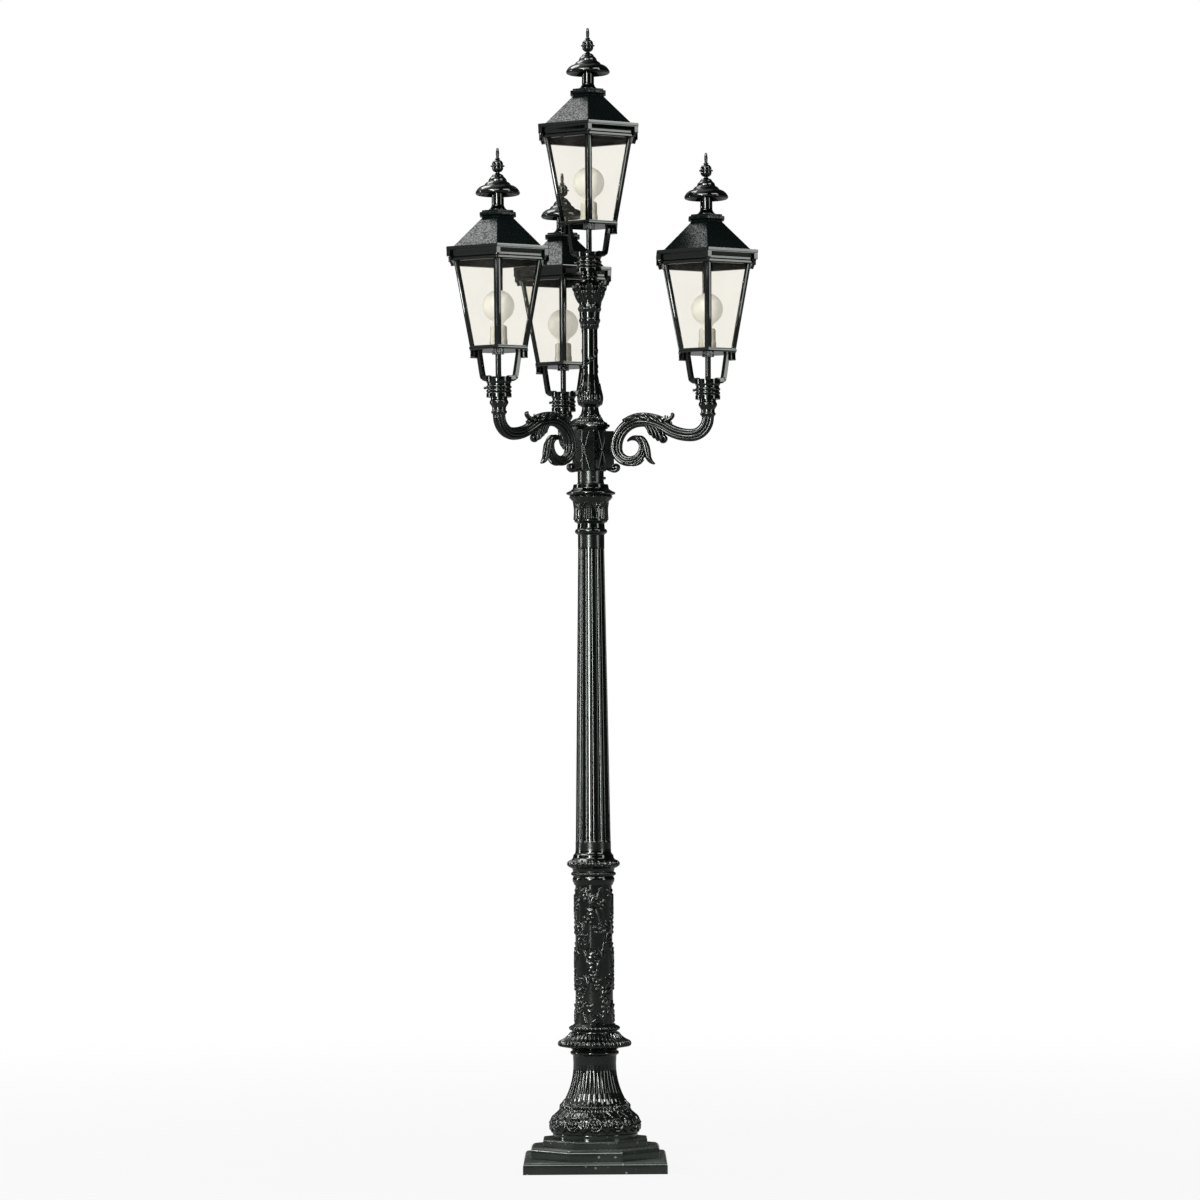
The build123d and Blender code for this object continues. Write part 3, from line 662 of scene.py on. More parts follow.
def capped_faces(rows: int, columns: int) -> Faces:
    """Faces of a tube of rings with a flat cap at each end."""
    caps = (tuple(reversed(range(columns))), tuple(range((rows - 1) * columns, rows * columns)))
    return [*grid_faces(rows, columns, False, True), *caps]


def pointed_faces(rows: int, columns: int) -> Faces:
    """Faces of a tube of rings that ends at two points, which follow the rings.

    Args:
        rows: How many rings.
        columns: Points in a ring.

    Returns:
        The faces.
    """
    faces = grid_faces(rows, columns, False, True)
    foot, last = rows * columns, (rows - 1) * columns
    for column in range(columns):
        after = (column + 1) % columns
        faces += [(foot, after, column), (foot + 1, last + column, last + after)]
    return faces


def sweep(outline: Outline, ring: RoundRing | CornerRing, lift: Lift | None = None) -> Surface:
    """Carry an outline round a ring.

    Args:
        outline: Radius and height of each point: a closed loop, or from pole to pole on the axis.
        ring: The section seen from above.
        lift: Ornament that stands out from the surface, by angle and height.

    Returns:
        A closed surface.
    """
    line = np.array(outline, dtype=float)
    poles = line[0, 0] == 0 and line[-1, 0] == 0
    body = line[1:-1] if poles else line
    angles = ring.angles[None, :]
    radius = np.repeat(body[:, :1], angles.shape[1], axis=1)
    height = np.repeat(body[:, 1:], angles.shape[1], axis=1)
    if lift is not None:
        radius = radius + lift(np.repeat(angles, len(body), axis=0), height)
    across, along = ring.spread(radius)
    points = np.stack((across, along, height), axis=2).reshape(-1, 3)
    if not poles:
        return points, grid_faces(*radius.shape, True, True)
    points = np.vstack((points, (0, 0, line[0, 1]), (0, 0, line[-1, 1])))
    return points, pointed_faces(*radius.shape)


def lathe(outline: Outline, segments: int, lift: Lift | None = None) -> Shell:
    """Turn an outline about the vertical, with its ornament."""
    return Shell().add(sweep(outline, RoundRing(segments), lift))


def moulded(foot: float, mouldings: Sequence[Moulding], bottom: float = 0.0, steps: int = 8) -> list[Point]:
    """Outline of a stack of mouldings.

    Args:
        foot: Radius at the bottom.
        mouldings: Rise, radius at the top and outward swell of each.
        bottom: Height of the foot.
        steps: Points in a swelled moulding.

    Returns:
        Radius and height of each point, from the bottom up.
    """
    line = [(foot, bottom)]
    for rise, top, swell in mouldings:
        start_radius, start_height = line[-1]
        run = hypot(top - start_radius, rise)
        if not swell:
            line.append((top, start_height + rise))
            continue
        bend = (run * run / 4 + swell * swell) / (2 * abs(swell))
        half_turn = asin(min(1.0, run / 2 / bend))
        if abs(swell) > run / 2:
            half_turn = pi - half_turn
        for step in range(1, steps + 1):
            turned = half_turn * (2 * step / steps - 1)
            share = 0.5 + bend * sin(turned) / run
            out = (bend * cos(turned) - bend + abs(swell)) * (1 if swell > 0 else -1)
            line.append((
                start_radius + (top - start_radius) * share + out * rise / run,
                start_height + rise * share - out * (top - start_radius) / run,
            ))
    return line


def soften(line: Outline, reach: float) -> list[Point]:
    """Round the sharp corners of an outline.

    Args:
        line: The outline.
        reach: How far from a corner its rounding starts.

    Returns:
        The rounded outline.
    """
    soft = [line[0]]
    for before, corner, after in zip(line, line[1:], line[2:]):
        first = np.subtract(before, corner)
        second = np.subtract(after, corner)
        lengths = (np.linalg.norm(first), np.linalg.norm(second))
        if min(lengths) < 1e-6 or np.dot(first, second) / lengths[0] / lengths[1] < STRAIGHT:
            soft.append(corner)
            continue
        cut = min(reach, CORNER_SHARE * lengths[0], CORNER_SHARE * lengths[1])
        start = np.add(corner, first / lengths[0] * cut)
        end = np.add(corner, second / lengths[1] * cut)
        middle = (start + end) / 4 + np.array(corner) / 2
        soft.extend((tuple(start), tuple(middle), tuple(end)))
    soft.append(line[-1])
    return soft


def divided(line: Outline, step: float) -> list[Point]:
    """Split the long runs of an outline.

    Args:
        line: The outline.
        step: The longest run that stays whole.

    Returns:
        The outline with more points.
    """
    fine = [line[0]]
    for start, end in zip(line, line[1:]):
        run = (end[0] - start[0], end[1] - start[1])
        parts = max(1, int(np.ceil(hypot(*run) / step)))
        for part in range(1, parts + 1):
            fine.append((start[0] + run[0] * part / parts, start[1] + run[1] * part / parts))
    return fine


def bored(line: Outline, bore: float) -> list[Point]:
    """Close an outline round a bore."""
    return [(bore, line[0][1]), *line, (bore, line[-1][1])]


def smooth_path(points: Sequence[Sequence[float]], steps: int = 6) -> Array:
    """Run a smooth curve through points.

    Args:
        points: The points, of any dimension.
        steps: Runs between two of them.

    Returns:
        Points along the curve.
    """
    ends = np.array([points[0], *points, points[-1]], dtype=float)
    share = np.arange(steps)[:, None] / steps
    runs = []
    for a, b, c, d in zip(ends, ends[1:], ends[2:], ends[3:]):
        square = (2 * a - 5 * b + 4 * c - d) * share**2
        cube = (3 * b - a - 3 * c + d) * share**3
        runs.append(0.5 * (2 * b + (c - a) * share + square + cube))
    return np.vstack((*runs, ends[-1:]))


def arc(centre: Point, bend: float, first: float, last: float, steps: int) -> list[Point]:
    """Points on an arc between two angles in degrees, without its first one."""
    turns = np.radians(np.linspace(first, last, steps + 1)[1:])
    return [(centre[0] + bend * cos(turn), centre[1] + bend * sin(turn)) for turn in turns]


def tangents(path: Array) -> Array:
    """Unit directions along a path in the plane of reach and height."""
    runs = np.gradient(path[:, :2], axis=0)
    return runs / np.linalg.norm(runs, axis=1)[:, None]


def beside(path: Array, out: Array, aside: Array) -> Array:
    """Points beside a path in the plane of reach and height.

    Args:
        path: The path's points.
        out: How far to the left of the path each point of a row stands.
        aside: How far across the plane it stands.

    Returns:
        The points, row by row.
    """
    ahead = tangents(path)
    reach = path[:, :1] - ahead[:, 1:] * out
    height = path[:, 1:2] + ahead[:, :1] * out
    return np.stack(np.broadcast_arrays(reach, aside, height), axis=2).reshape(-1, 3)


def tapered(stations: Sequence[Station], offset: float = 0.0, sides: int = 14) -> Surface:
    """Sweep an oval along a smooth path in the plane of reach and height.

    Args:
        stations: Reach, height, half thickness in the plane and half width across it.
        offset: Where the plane stands across.
        sides: Points round the oval.

    Returns:
        A closed surface with rounded ends.
    """
    path = smooth_path(stations)
    ahead = tangents(path)
    around = np.arange(sides) * 2 * pi / sides
    points = beside(path, path[:, 2:3] * np.cos(around), offset + path[:, 3:4] * np.sin(around))
    ends = []
    for row, way in ((0, -1), (len(path) - 1, 1)):
        tip = path[row, :2] + ahead[row] * way * path[row, 2] * 0.6
        ends.append((tip[0], offset, tip[1]))
    return np.vstack((points, ends)), pointed_faces(len(path), sides)


def blades(stations: Sequence[Station], offsets: Sequence[float] = (0.0,), sides: int = 10) -> Shell:
    """The same tapered blade at several places across.

    Args:
        stations: Its stations.
        offsets: The places across.
        sides: Points round the blade.

    Returns:
        The blades.
    """
    shell = Shell()
    for offset in offsets:
        shell.add(tapered(stations, offset, sides))
    return shell


def prism(outline: Outline, low: float, high: float, edge: float, top: Outline | None = None) -> Surface:
    """Stand a flat outline up between two heights, its rims chamfered.

    Args:
        outline: Corners in plan, in order.
        low: Height of the foot.
        high: Height of the top.
        edge: Chamfer of both rims.
        top: Corners at the top where they differ from the foot's.

    Returns:
        A closed surface.
    """
    foot = np.array(outline, dtype=float)
    head = foot if top is None else np.array(top, dtype=float)
    levels = ((foot, low, 0), (foot, low + edge, 1), (head, high - edge, 1), (head, high, 0))
    rings = []
    for plan, height, full in levels:
        centre = plan.mean(axis=0)
        spread = np.abs(plan - centre).max(axis=0)
        ring = centre + (plan - centre) * (1.0 if full else 1.0 - edge / spread)
        rings.append(np.column_stack((ring, np.full(len(ring), height))))
    return np.vstack(rings), capped_faces(len(rings), len(foot))


def relaid(surface: Surface, order: tuple[int, int, int], shift: Triple = (0.0, 0.0, 0.0)) -> Surface:
    """Swap a surface's axes into an order, then move it."""
    return surface[0][:, order] + np.array(shift), surface[1]


@dataclass(frozen=True)
class Turning:
    """A turned casting: height and radius of its foot, its mouldings and how finely it is drawn."""

    bottom: float
    foot: float
    mouldings: Profile
    step: float = 400.0
    segments: int = 96
    round_off: float = 1.6

    def rise(self) -> float:
        """Height of the whole stack."""
        return sum(moulding[0] for moulding in self.mouldings)

    def line(self, start: float = 0.0) -> list[Point]:
        """Outer line above a height, its sharp corners rounded."""
        return soften(moulded(self.foot, self.mouldings, start), self.round_off)

    def outline(self, bore: float) -> list[Point]:
        """Closed outline round a bore."""
        return bored(divided(self.line(), self.step), bore)

    def turn(self, bore: float, lift: Lift | None = None) -> Shell:
        """The casting above its own foot, with its ornament."""
        return lathe(self.outline(bore), self.segments, lift)


# Ornament drawn on the unrolled surface of a turned casting


@dataclass(frozen=True)
class Stroke:
    """A rounded ridge between two points, in millimetres across and up."""

    start: Point
    end: Point
    start_half: float
    end_half: float
    height: float

    def lift(self, across: Array, up: Array) -> Array:
        """How far the ridge stands out.

        Args:
            across: Places across.
            up: Places up.

        Returns:
            The height at each place, 0 outside the ridge.
        """
        run = (self.end[0] - self.start[0], self.end[1] - self.start[1])
        length = max(run[0] ** 2 + run[1] ** 2, 1e-9)
        share = np.clip(((across - self.start[0]) * run[0] + (up - self.start[1]) * run[1]) / length, 0, 1)
        half = self.start_half + (self.end_half - self.start_half) * share
        away = np.hypot(across - self.start[0] - run[0] * share, up - self.start[1] - run[1] * share)
        return self.height * np.sqrt(np.clip(1 - (away / half) ** 2, 0, None))

    def moved(self, across: float) -> "Stroke":
        """The same ridge further across."""
        start, end = (self.start[0] + across, self.start[1]), (self.end[0] + across, self.end[1])
        return replace(self, start=start, end=end)


def dot(place: Point, half: float, height: float) -> Stroke:
    """A round boss."""
    return Stroke(place, place, half, half, height)


def trail(points: Sequence[Point], halves: Sequence[float], height: float) -> list[Stroke]:
    """A ridge along a row of points, each with its half width."""
    runs = zip(points, points[1:], halves, halves[1:])
    return [Stroke(start, end, first, second, height) for start, end, first, second in runs]


def rosette(centre: Point, petals: int, reach: float, height: float) -> list[Stroke]:
    """A flower of round petals about a raised eye.

    Args:
        centre: The flower's middle.
        petals: How many petals.
        reach: Radius of the flower.
        height: How far the petals stand out.

    Returns:
        Its strokes.
    """
    eye, ring, petal_half = reach * 0.36, reach * 0.66, reach * 0.34
    strokes = [dot(centre, eye, height * 1.25)]
    for petal in range(petals):
        angle = 2 * pi * petal / petals + 0.3
        middle = (centre[0] + ring * cos(angle), centre[1] + ring * sin(angle))
        strokes.append(dot(middle, petal_half, height))
    return strokes


def spray(
    root: Point, bearing: float, length: float, fingers: int, height: float, width: float = 0.19,
) -> list[Stroke]:
    """A leaf of spread fingers.

    Args:
        root: Where it leaves its stem.
        bearing: Its direction in degrees.
        length: Length of its middle finger.
        fingers: How many fingers it has.
        height: How far it stands out.
        width: Half width of a finger, as a share of the length.

    Returns:
        Its strokes.
    """
    spread, shorter = 34, 0.13
    halves = (length * 0.07, length * width, length * 0.05)
    strokes = []
    for finger in range(fingers):
        lean = finger - (fingers - 1) / 2
        angle = radians(bearing + lean * spread)
        reach = length * (1 - shorter * abs(lean))
        waist = (root[0] + reach * 0.5 * cos(angle), root[1] + reach * 0.5 * sin(angle))
        tip = (root[0] + reach * cos(angle), root[1] + reach * sin(angle))
        strokes += trail((root, waist, tip), halves, height)
    return strokes


@dataclass(frozen=True)
class Frieze:
    """Ornament that repeats round a casting, drawn at one radius."""

    repeats: int
    radius: float
    strokes: Sequence[Stroke]
    mirrored: bool = True
    first: float = 0.0

    def lift(self, angle: Array, height: Array) -> Array:
        """How far the ornament stands out.

        Args:
            angle: Angles round the casting.
            height: Heights on it.

        Returns:
            The height of the ornament at each place.
        """
        cell = 2 * pi / self.repeats
        across = ((angle - radians(self.first) + cell / 2) % cell - cell / 2) * self.radius
        if self.mirrored:
            across = np.abs(across)
        raised = np.zeros_like(across)
        for stroke in self.strokes:
            raised = np.maximum(raised, stroke.lift(across, height))
        return raised


def together(*rows: Frieze) -> Lift:
    """The sum of several rows of ornament."""
    return lambda angle, height: sum(row.lift(angle, height) for row in rows)


# Geometry Nodes trees


class NodesTree:
    """A Geometry Nodes tree with named inputs that ends in Realize Instances and Set Material."""

    def __init__(self, name: str, inputs: Sequence[tuple[str, str]]) -> None:
        """Make the tree and its inputs.

        Args:
            name: The tree's name.
            inputs: Name and socket type of each input.
        """
        self.tree = bpy.data.node_groups.new(name, "GeometryNodeTree")
        self.graph = Graph(self.tree)
        self.keys: dict[str, str] = {}
        plugs = self.tree.interface
        for label, kind in (*inputs, ("Finish", "NodeSocketMaterial")):
            self.keys[label] = plugs.new_socket(label, in_out="INPUT", socket_type=kind).identifier
        plugs.new_socket("Geometry", in_out="OUTPUT", socket_type="NodeSocketGeometry")
        self.given = self.graph.node("NodeGroupInput")

    def take(self, label: str) -> Socket:
        """One of the tree's inputs."""
        return Socket(self.graph, self.given.outputs[label])

    def end(self, shape: Socket) -> None:
        """Close the tree: realize the shape, set its material and give it out.

        Args:
            shape: The geometry so far.
        """
        real = self.graph.value("GeometryNodeRealizeInstances", n0=shape)
        finish = self.take("Finish")
        dressed = self.graph.value("GeometryNodeSetMaterial", Geometry=real, Material=finish)
        self.graph.node("NodeGroupOutput", n0=dressed)

    def run(self, **values: Any) -> Surface:
        """Evaluate the tree on an empty mesh.

        Args:
            values: The inputs by name, spaces written as underscores.

        Returns:
            The result in millimetres.
        """
        empty = bpy.data.meshes.new("tree_holder")
        holder = stand("tree_holder", empty)
        modifier = holder.modifiers.new("tree", "NODES")
        modifier.node_group = self.tree
        for label, value in values.items():
            modifier[self.keys[label.replace("_", " ")]] = value
        made = bpy.data.meshes.new_from_object(holder.evaluated_get(bpy.context.evaluated_depsgraph_get()))
        holder.modifiers.remove(modifier)
        points = np.empty(len(made.vertices) * 3)
        made.vertices.foreach_get("co", points)
        faces = [tuple(face.vertices) for face in made.polygons]
        bpy.data.objects.remove(holder)
        for spent in (made, empty):
            bpy.data.meshes.remove(spent)
        return points.reshape(-1, 3) / MM, faces


class RingTree(NodesTree):
    """Copies of one shape round the vertical, each turned to face outward."""

    def __init__(self) -> None:
        """Fill the tree."""
        inputs = (("Shape", "NodeSocketObject"), ("Count", "NodeSocketInt"), ("First", "NodeSocketFloat"))
        super().__init__("ring_of_shapes", inputs)
        graph = self.graph
        shape = graph.value("GeometryNodeObjectInfo", "Geometry", Object=self.take("Shape"))
        spots = graph.value("GeometryNodePoints", Count=self.take("Count"))
        index = graph.value("GeometryNodeInputIndex")
        turn = index * (2 * pi) / self.take("Count") + self.take("First")
        facing = graph.value("ShaderNodeCombineXYZ", Z=turn)
        self.end(graph.value("GeometryNodeInstanceOnPoints", Points=spots, Instance=shape, Rotation=facing))

    def around(self, shape: Shell, count: int, first: float = 0.0) -> Shell:
        """Set copies of a shape round the vertical.

        Args:
            shape: The shape at angle 0.
            count: How many copies.
            first: Angle of the first copy in degrees.

        Returns:
            The copies as one shell.
        """
        mesh = shape.mesh("ring_shape")
        single = stand("ring_shape", mesh)
        points, faces = self.run(Shape=single, Count=count, First=radians(first), Finish=CASTING.material())
        bpy.data.objects.remove(single)
        bpy.data.meshes.remove(mesh)
        return Shell().take(points, faces)


class LimbTree(NodesTree):
    """A ribbed bar along a path whose points carry the bar's thickness."""

    def __init__(self) -> None:
        """Fill the tree."""
        inputs = (("Path", "NodeSocketObject"), ("Ribs", "NodeSocketInt"), ("Rib Depth", "NodeSocketFloat"))
        super().__init__("ribbed_limb", inputs)
        graph = self.graph
        path = graph.value("GeometryNodeObjectInfo", "Geometry", Object=self.take("Path"))
        ribs = self.take("Ribs")
        circle = graph.value("GeometryNodeCurvePrimitiveCircle", Resolution=ribs * 8, Radius=1.0)
        place = graph.value("GeometryNodeInputPosition")
        split = graph.node("ShaderNodeSeparateXYZ", Vector=place)
        angle = graph.math("ARCTAN2", Socket(graph, split.outputs["Y"]), Socket(graph, split.outputs["X"]))
        crown = graph.math("ABSOLUTE", graph.math("COSINE", angle * ribs * 0.5))
        reach = 1.0 - self.take("Rib Depth") * (1.0 - crown)
        ribbed = graph.value("ShaderNodeVectorMath", 0, {"operation": "SCALE"}, n0=place, Scale=reach)
        section = graph.value("GeometryNodeSetPosition", Geometry=circle, Position=ribbed)
        self.end(graph.value(
            "GeometryNodeCurveToMesh", Curve=path, Profile_Curve=section, Fill_Caps=True,
            Scale=graph.value("GeometryNodeInputRadius"),
        ))

    def along(self, path: Array, ribs: int, rib_depth: float) -> Surface:
        """Lay a ribbed bar along a path in the plane of reach and height.

        Args:
            path: Reach, height and thickness of each point.
            ribs: Ribs round the bar.
            rib_depth: Depth of the valleys as a share of the thickness.

        Returns:
            The bar.
        """
        curve = bpy.data.curves.new("limb_path", "CURVE")
        curve.dimensions = "3D"
        spline = curve.splines.new("POLY")
        spline.points.add(len(path) - 1)
        for spot, (reach, height, thickness) in zip(spline.points, path):
            spot.co = (reach * MM, 0.0, height * MM, 1.0)
            spot.radius = thickness * MM
        holder = stand("limb_path", curve)
        surface = self.run(Path=holder, Ribs=ribs, Rib_Depth=rib_depth, Finish=CASTING.material())
        bpy.data.objects.remove(holder)
        bpy.data.curves.remove(curve)
        return surface


RINGS = RingTree()
LIMBS = LimbTree()


# The post's castings


@dataclass(frozen=True)
class Tier:
    """One step of the plinth; its half width and its rim are measured to the flats."""

    sides: int
    half: float
    rim: Profile
    hollow: float


@dataclass
class Plinth:
    """Square step, two octagonal tiers and the round seat of the bell."""

    tiers: tuple[Tier, ...] = (
        Tier(4, 215.0, ((23, 215, 0), (12, 203, 3.5)), 126.0),
        Tier(8, 194.0, ((19, 194, 0), (16, 178, 4.7)), 130.0),
        Tier(8, 156.5, ((16, 156.5, 0), (5, 151.5, 1.5)), 110.0),
    )
    seat: Turning = Turning(91.0, 128.0, ((12, 128, 0), (6, 126, 1)), segments=128, round_off=1.5)
    core: float = 30.3
    corner: float = 2.5
    round_off: float = 1.5

    def build(self) -> None:
        """Build and dress the plinth."""
        shell = Shell()
        rise = 0.0
        for tier in self.tiers:
            line = bored(soften(moulded(tier.half, tier.rim, rise), self.round_off), tier.hollow)
            corners = [(reach / cos(pi / tier.sides), height) for reach, height in line]
            shell.add(sweep(corners, CornerRing(tier.sides, 180 / tier.sides, self.corner)))
            rise += sum(step[0] for step in tier.rim)
        shell.join(self.seat.turn(self.core).placed(lift=self.seat.bottom))
        shell.piece("plinth", "base_plinth", sharp=FACETED)


@dataclass
class PostCastings:
    """The turned castings threaded on the core tube, with their ornament."""

    core: float = 30.3
    bell: Turning = Turning(109.0, 133.0, (
        (9, 133, 0), (43, 121, 6), (12, 107, 0), (6, 103, 0), (11, 103, 0), (7, 97, 0), (134, 65.4, -10.7),
        (8, 66, 0), (2, 68, 0), (12, 68, 5.5), (2, 67, 0),
    ), step=2.0, segments=480)
    torus_radius: float = 130.0
    torus_cells: int = 12
    bell_flutes: int = 30
    bell_flute_depth: float = 3.0
    bell_flute_foot: Pair = (88.0, 8.0)
    bell_flute_head: Pair = (216.0, 95.0)
    collar: Turning = Turning(355.0, 67.0, (
        (6, 73, 0), (6, 102, 0), (18, 97, 5), (24, 67.5, -3), (4, 67.5, 0), (16, 66, 8.5), (5, 62, 0),
    ), step=2.0, segments=400)
    drum: Turning = Turning(434.0, 57.0, ((418, 55.0, 0),), step=1.6, segments=320, round_off=0.5)
    vines: int = 4
    vine_swing: float = 13.0
    vine_coil: float = 32.0
    vine_pitch: float = 80.0
    berries: Points = ((0, 0), (11, 5), (-11, 5), (6, -10), (-6, -10), (0, -20))
    ring: Turning = Turning(852.0, 58.5, (
        (6, 60, 0), (20, 60, 3.5), (14, 62, 5), (9, 64, 0), (8, 73, 0), (14, 72, 3.5), (10, 62, 0),
        (10, 60, 0), (12, 54, -2), (6, 53.5, 0),
    ), step=1.8, segments=360)
    column_bottom: float = 961.0
    column_foot: float = 53.5
    column_top: float = 40.0
    column_ends: Pair = (19.0, 37.0)
    column_height: float = 947.0
    flutes: int = 16
    flute_segments: int = 20
    flute_radius: float = 9.0
    flute_depth: float = 4.0
    capital: Turning = Turning(1908.0, 39.7, (
        (4, 42, 0), (16, 42, 7), (16, 40.5, 0), (6, 50.5, 0), (6, 50, 0), (24, 48.5, 0), (25, 51.5, -1.5),
        (12, 59, 0), (6, 64.3, 0), (6, 62.8, 0), (4, 74.5, 0), (5, 74, 0), (5, 63, 0), (6, 55, 0),
        (13, 52.6, 0),
    ), step=1.8, segments=320)
    capital_radius: float = 50.0
    capital_cells: int = 6

    def cast(self, name: str, node: str, turning: Turning, lift: Lift) -> None:
        """Turn one casting with its ornament, set it at its height and dress it."""
        turning.turn(self.core, lift).placed(lift=turning.bottom).piece(name, node)

    def build_bell(self) -> None:
        """Build the bell: a torus of framed rosettes, a ring of leaf tips and a fluted trumpet."""
        cell = pi * self.torus_radius / self.torus_cells
        hoop = [(20, 29), *arc((0, 29), 20, 0, 360, steps=15)]
        torus = [
            *rosette((0, 29), 4, 15.0, 4.8),
            *trail(hoop, [4.4] * len(hoop), 5.0),
            *spray((cell, 6), 90, 42, 3, 4.8),
        ]
        tips = [
            *trail(((0, 56), (0, 74), (0, 96)), (8, 8, 2.5), 4.4),
            *trail(((7, 58), (14, 70), (13, 84)), (4, 5, 3), 4.0),
            *trail(((23.8, 56), (23.8, 72), (23.8, 88)), (5.5, 6, 2), 4.4),
        ]
        framed = Frieze(self.torus_cells, self.torus_radius, torus)
        leafwork = together(framed, Frieze(14, 106, tips, first=15))
        foot, foot_run = self.bell_flute_foot
        head, head_run = self.bell_flute_head

        def lift(angle: Array, height: Array) -> Array:
            """Ornament of the bell, less its flutes.

            Args:
                angle: Angles round the casting.
                height: Heights on it.

            Returns:
                How far out the surface goes.
            """
            wave = np.abs(np.sin(angle * self.bell_flutes / 2))
            fade = np.clip((height - foot) / foot_run, 0, 1) * np.clip((head - height) / head_run, 0, 1)
            return leafwork(angle, height) - self.bell_flute_depth * fade * (1 - wave ** 0.8)

        self.cast("pedestal_bell_casting", "pedestal_bell", self.bell, lift)

    def build_collars(self) -> None:
        """Build the leaf collar under the drum and the beaded ring over it."""
        leaves = Frieze(22, 97, (
            Stroke((0, 12), (0, 52), 5.4, 3.4, 6.5), Stroke((13.85, 12), (13.85, 48), 5.0, 3.0, 6.0),
        ))
        pearls = Frieze(30, 66, (dot((0, 66), 6.4, 2.2),))
        self.cast("leaf_collar_casting", "leaf_collar", self.collar, together(leaves, pearls))
        buds = Frieze(24, 73, (
            Stroke((0, 58), (0, 72), 7.0, 4.0, 4.2), Stroke((9.4, 60), (9.4, 70), 2.0, 1.4, 2.4),
        ))
        beads = Frieze(34, 63, (dot((0, 33), 5, 2.0),))
        self.cast("drum_ring_casting", "drum_collar", self.ring, together(buds, beads))

    def vine(self, start: float, swing: float) -> list[Stroke]:
        """One climbing stem with its leaves, flowers and berries.

        Args:
            start: Where it stands across.
            swing: The way that its first turn leans, 1 or -1.

        Returns:
            Its strokes.
        """
        def stem_at(height: float) -> Point:
            """A point of the stem."""
            return (start + swing * self.vine_swing * sin(height / self.vine_coil), height)

        stem = [stem_at(height) for height in range(6, 413, 8)]
        strokes = trail(stem, [4.2] * len(stem), 3.4)
        for turn in range(5):
            height = 12 + turn * self.vine_pitch + (30 if swing < 0 else 0)
            side = swing if turn % 2 == 0 else -swing
            root = stem_at(height)
            eye = (root[0] + side * 15, height + 34)
            strokes += spray((root[0] - side * 2, height), 90 + side * 62, 36, 3, 5.2, 0.27)
            if turn % 3 == 0:
                strokes += rosette(eye, 5, 20.0, 5.0)
            elif turn % 3 == 1:
                strokes += [dot((eye[0] + x, eye[1] + y), 6.6, 5.0) for x, y in self.berries]
            else:
                strokes += spray((eye[0], eye[1] - 12), 90 + side * 20, 38, 3, 5.2, 0.27)
        return strokes

    def build_drum(self) -> None:
        """Build the drum with its climbing vines in relief."""
        cell = 2 * pi * self.drum.foot / self.vines
        strokes = self.vine(0.0, 1.0) + self.vine(cell / 2, -1.0)
        wrapped = [stroke.moved(cell * way) for stroke in strokes for way in (-1, 0, 1)]
        near = [each for each in wrapped if min(abs(each.start[0]), abs(each.end[0])) < cell / 2 + 12]
        relief = Frieze(self.vines, self.drum.foot, near, mirrored=False, first=20)
        self.cast("vine_drum_casting", "shaft_drum", self.drum, relief.lift)

    def build_column(self) -> None:
        """Build the tapering column with its round-ended flutes."""
        start, end = self.column_ends[0], self.column_height - self.column_ends[1]

        def shaft_at(height: Array | float) -> Array | float:
            """Radius of the shaft at one height or many."""
            share = np.clip((height - start) / (end - start), 0, 1)
            return self.column_foot + (self.column_top - self.column_foot) * share

        def lift(angle: Array, height: Array) -> Array:
            """The flutes, cut inward.

            Args:
                angle: Angles round the casting.
                height: Heights on it.

            Returns:
                How far out the surface goes.
            """
            shaft = shaft_at(height)
            groove = self.flute_radius * shaft / self.column_foot
            shallow = groove * (1 - self.flute_depth / self.flute_radius)
            cell = 2 * pi / self.flutes
            aside = ((angle + cell / 2) % cell - cell / 2) * shaft
            mouth = np.sqrt(groove**2 - shallow**2)
            past = np.maximum(0, mouth - np.minimum(height - start, end - height))
            depth = np.sqrt(np.clip(groove**2 - aside**2 - past**2, 0, None)) - shallow
            return -np.maximum(0, depth) * np.where((height >= start) & (height <= end), 1, 0)

        foot = [0, 1, start - 1, *np.linspace(start, start + 12, 13)]
        head = [*np.linspace(end - 10, end, 13), end + 1, self.column_height - 1, self.column_height]
        rows = [*foot, *np.linspace(start + 40, end - 40, 14), *head]
        line = [(float(shaft_at(height)), float(height)) for height in rows]
        column = lathe(bored(line, self.core), self.flutes * self.flute_segments, lift)
        column.placed(lift=self.column_bottom).piece("fluted_column_casting", "fluted_column")

    def build_capital(self) -> None:
        """Build the capital with its tongues, arches and buds under a stepped abacus."""
        half = pi * self.capital_radius / self.capital_cells
        arch = ((half, 64), (half - 5, 77), (half - 12, 90), (half - 22, 99))
        cell = [
            Stroke((3.3, 49), (3.3, 80), 2.7, 2.7, 4.0),
            Stroke((9.9, 49), (9.9, 78), 2.7, 2.7, 4.0),
            Stroke((half, 50), (half, 64), 3.2, 2.8, 4.0),
            *trail(arch, (2.8, 2.6, 2.6, 2.4), 4.0),
            *rosette((half, 89), 5, 7.5, 3.0),
            dot((16, 52), 3, 3),
        ]
        arches = Frieze(self.capital_cells, self.capital_radius, cell, first=-100)
        buds = Frieze(18, 60, (Stroke((0, 110), (0, 116), 5, 4, 1.6),))
        self.cast("capital_casting", "capital", self.capital, together(arches, buds))

    def build(self) -> None:
        """Build and dress every casting."""
        self.build_bell()
        self.build_collars()
        self.build_drum()
        self.build_column()
        self.build_capital()


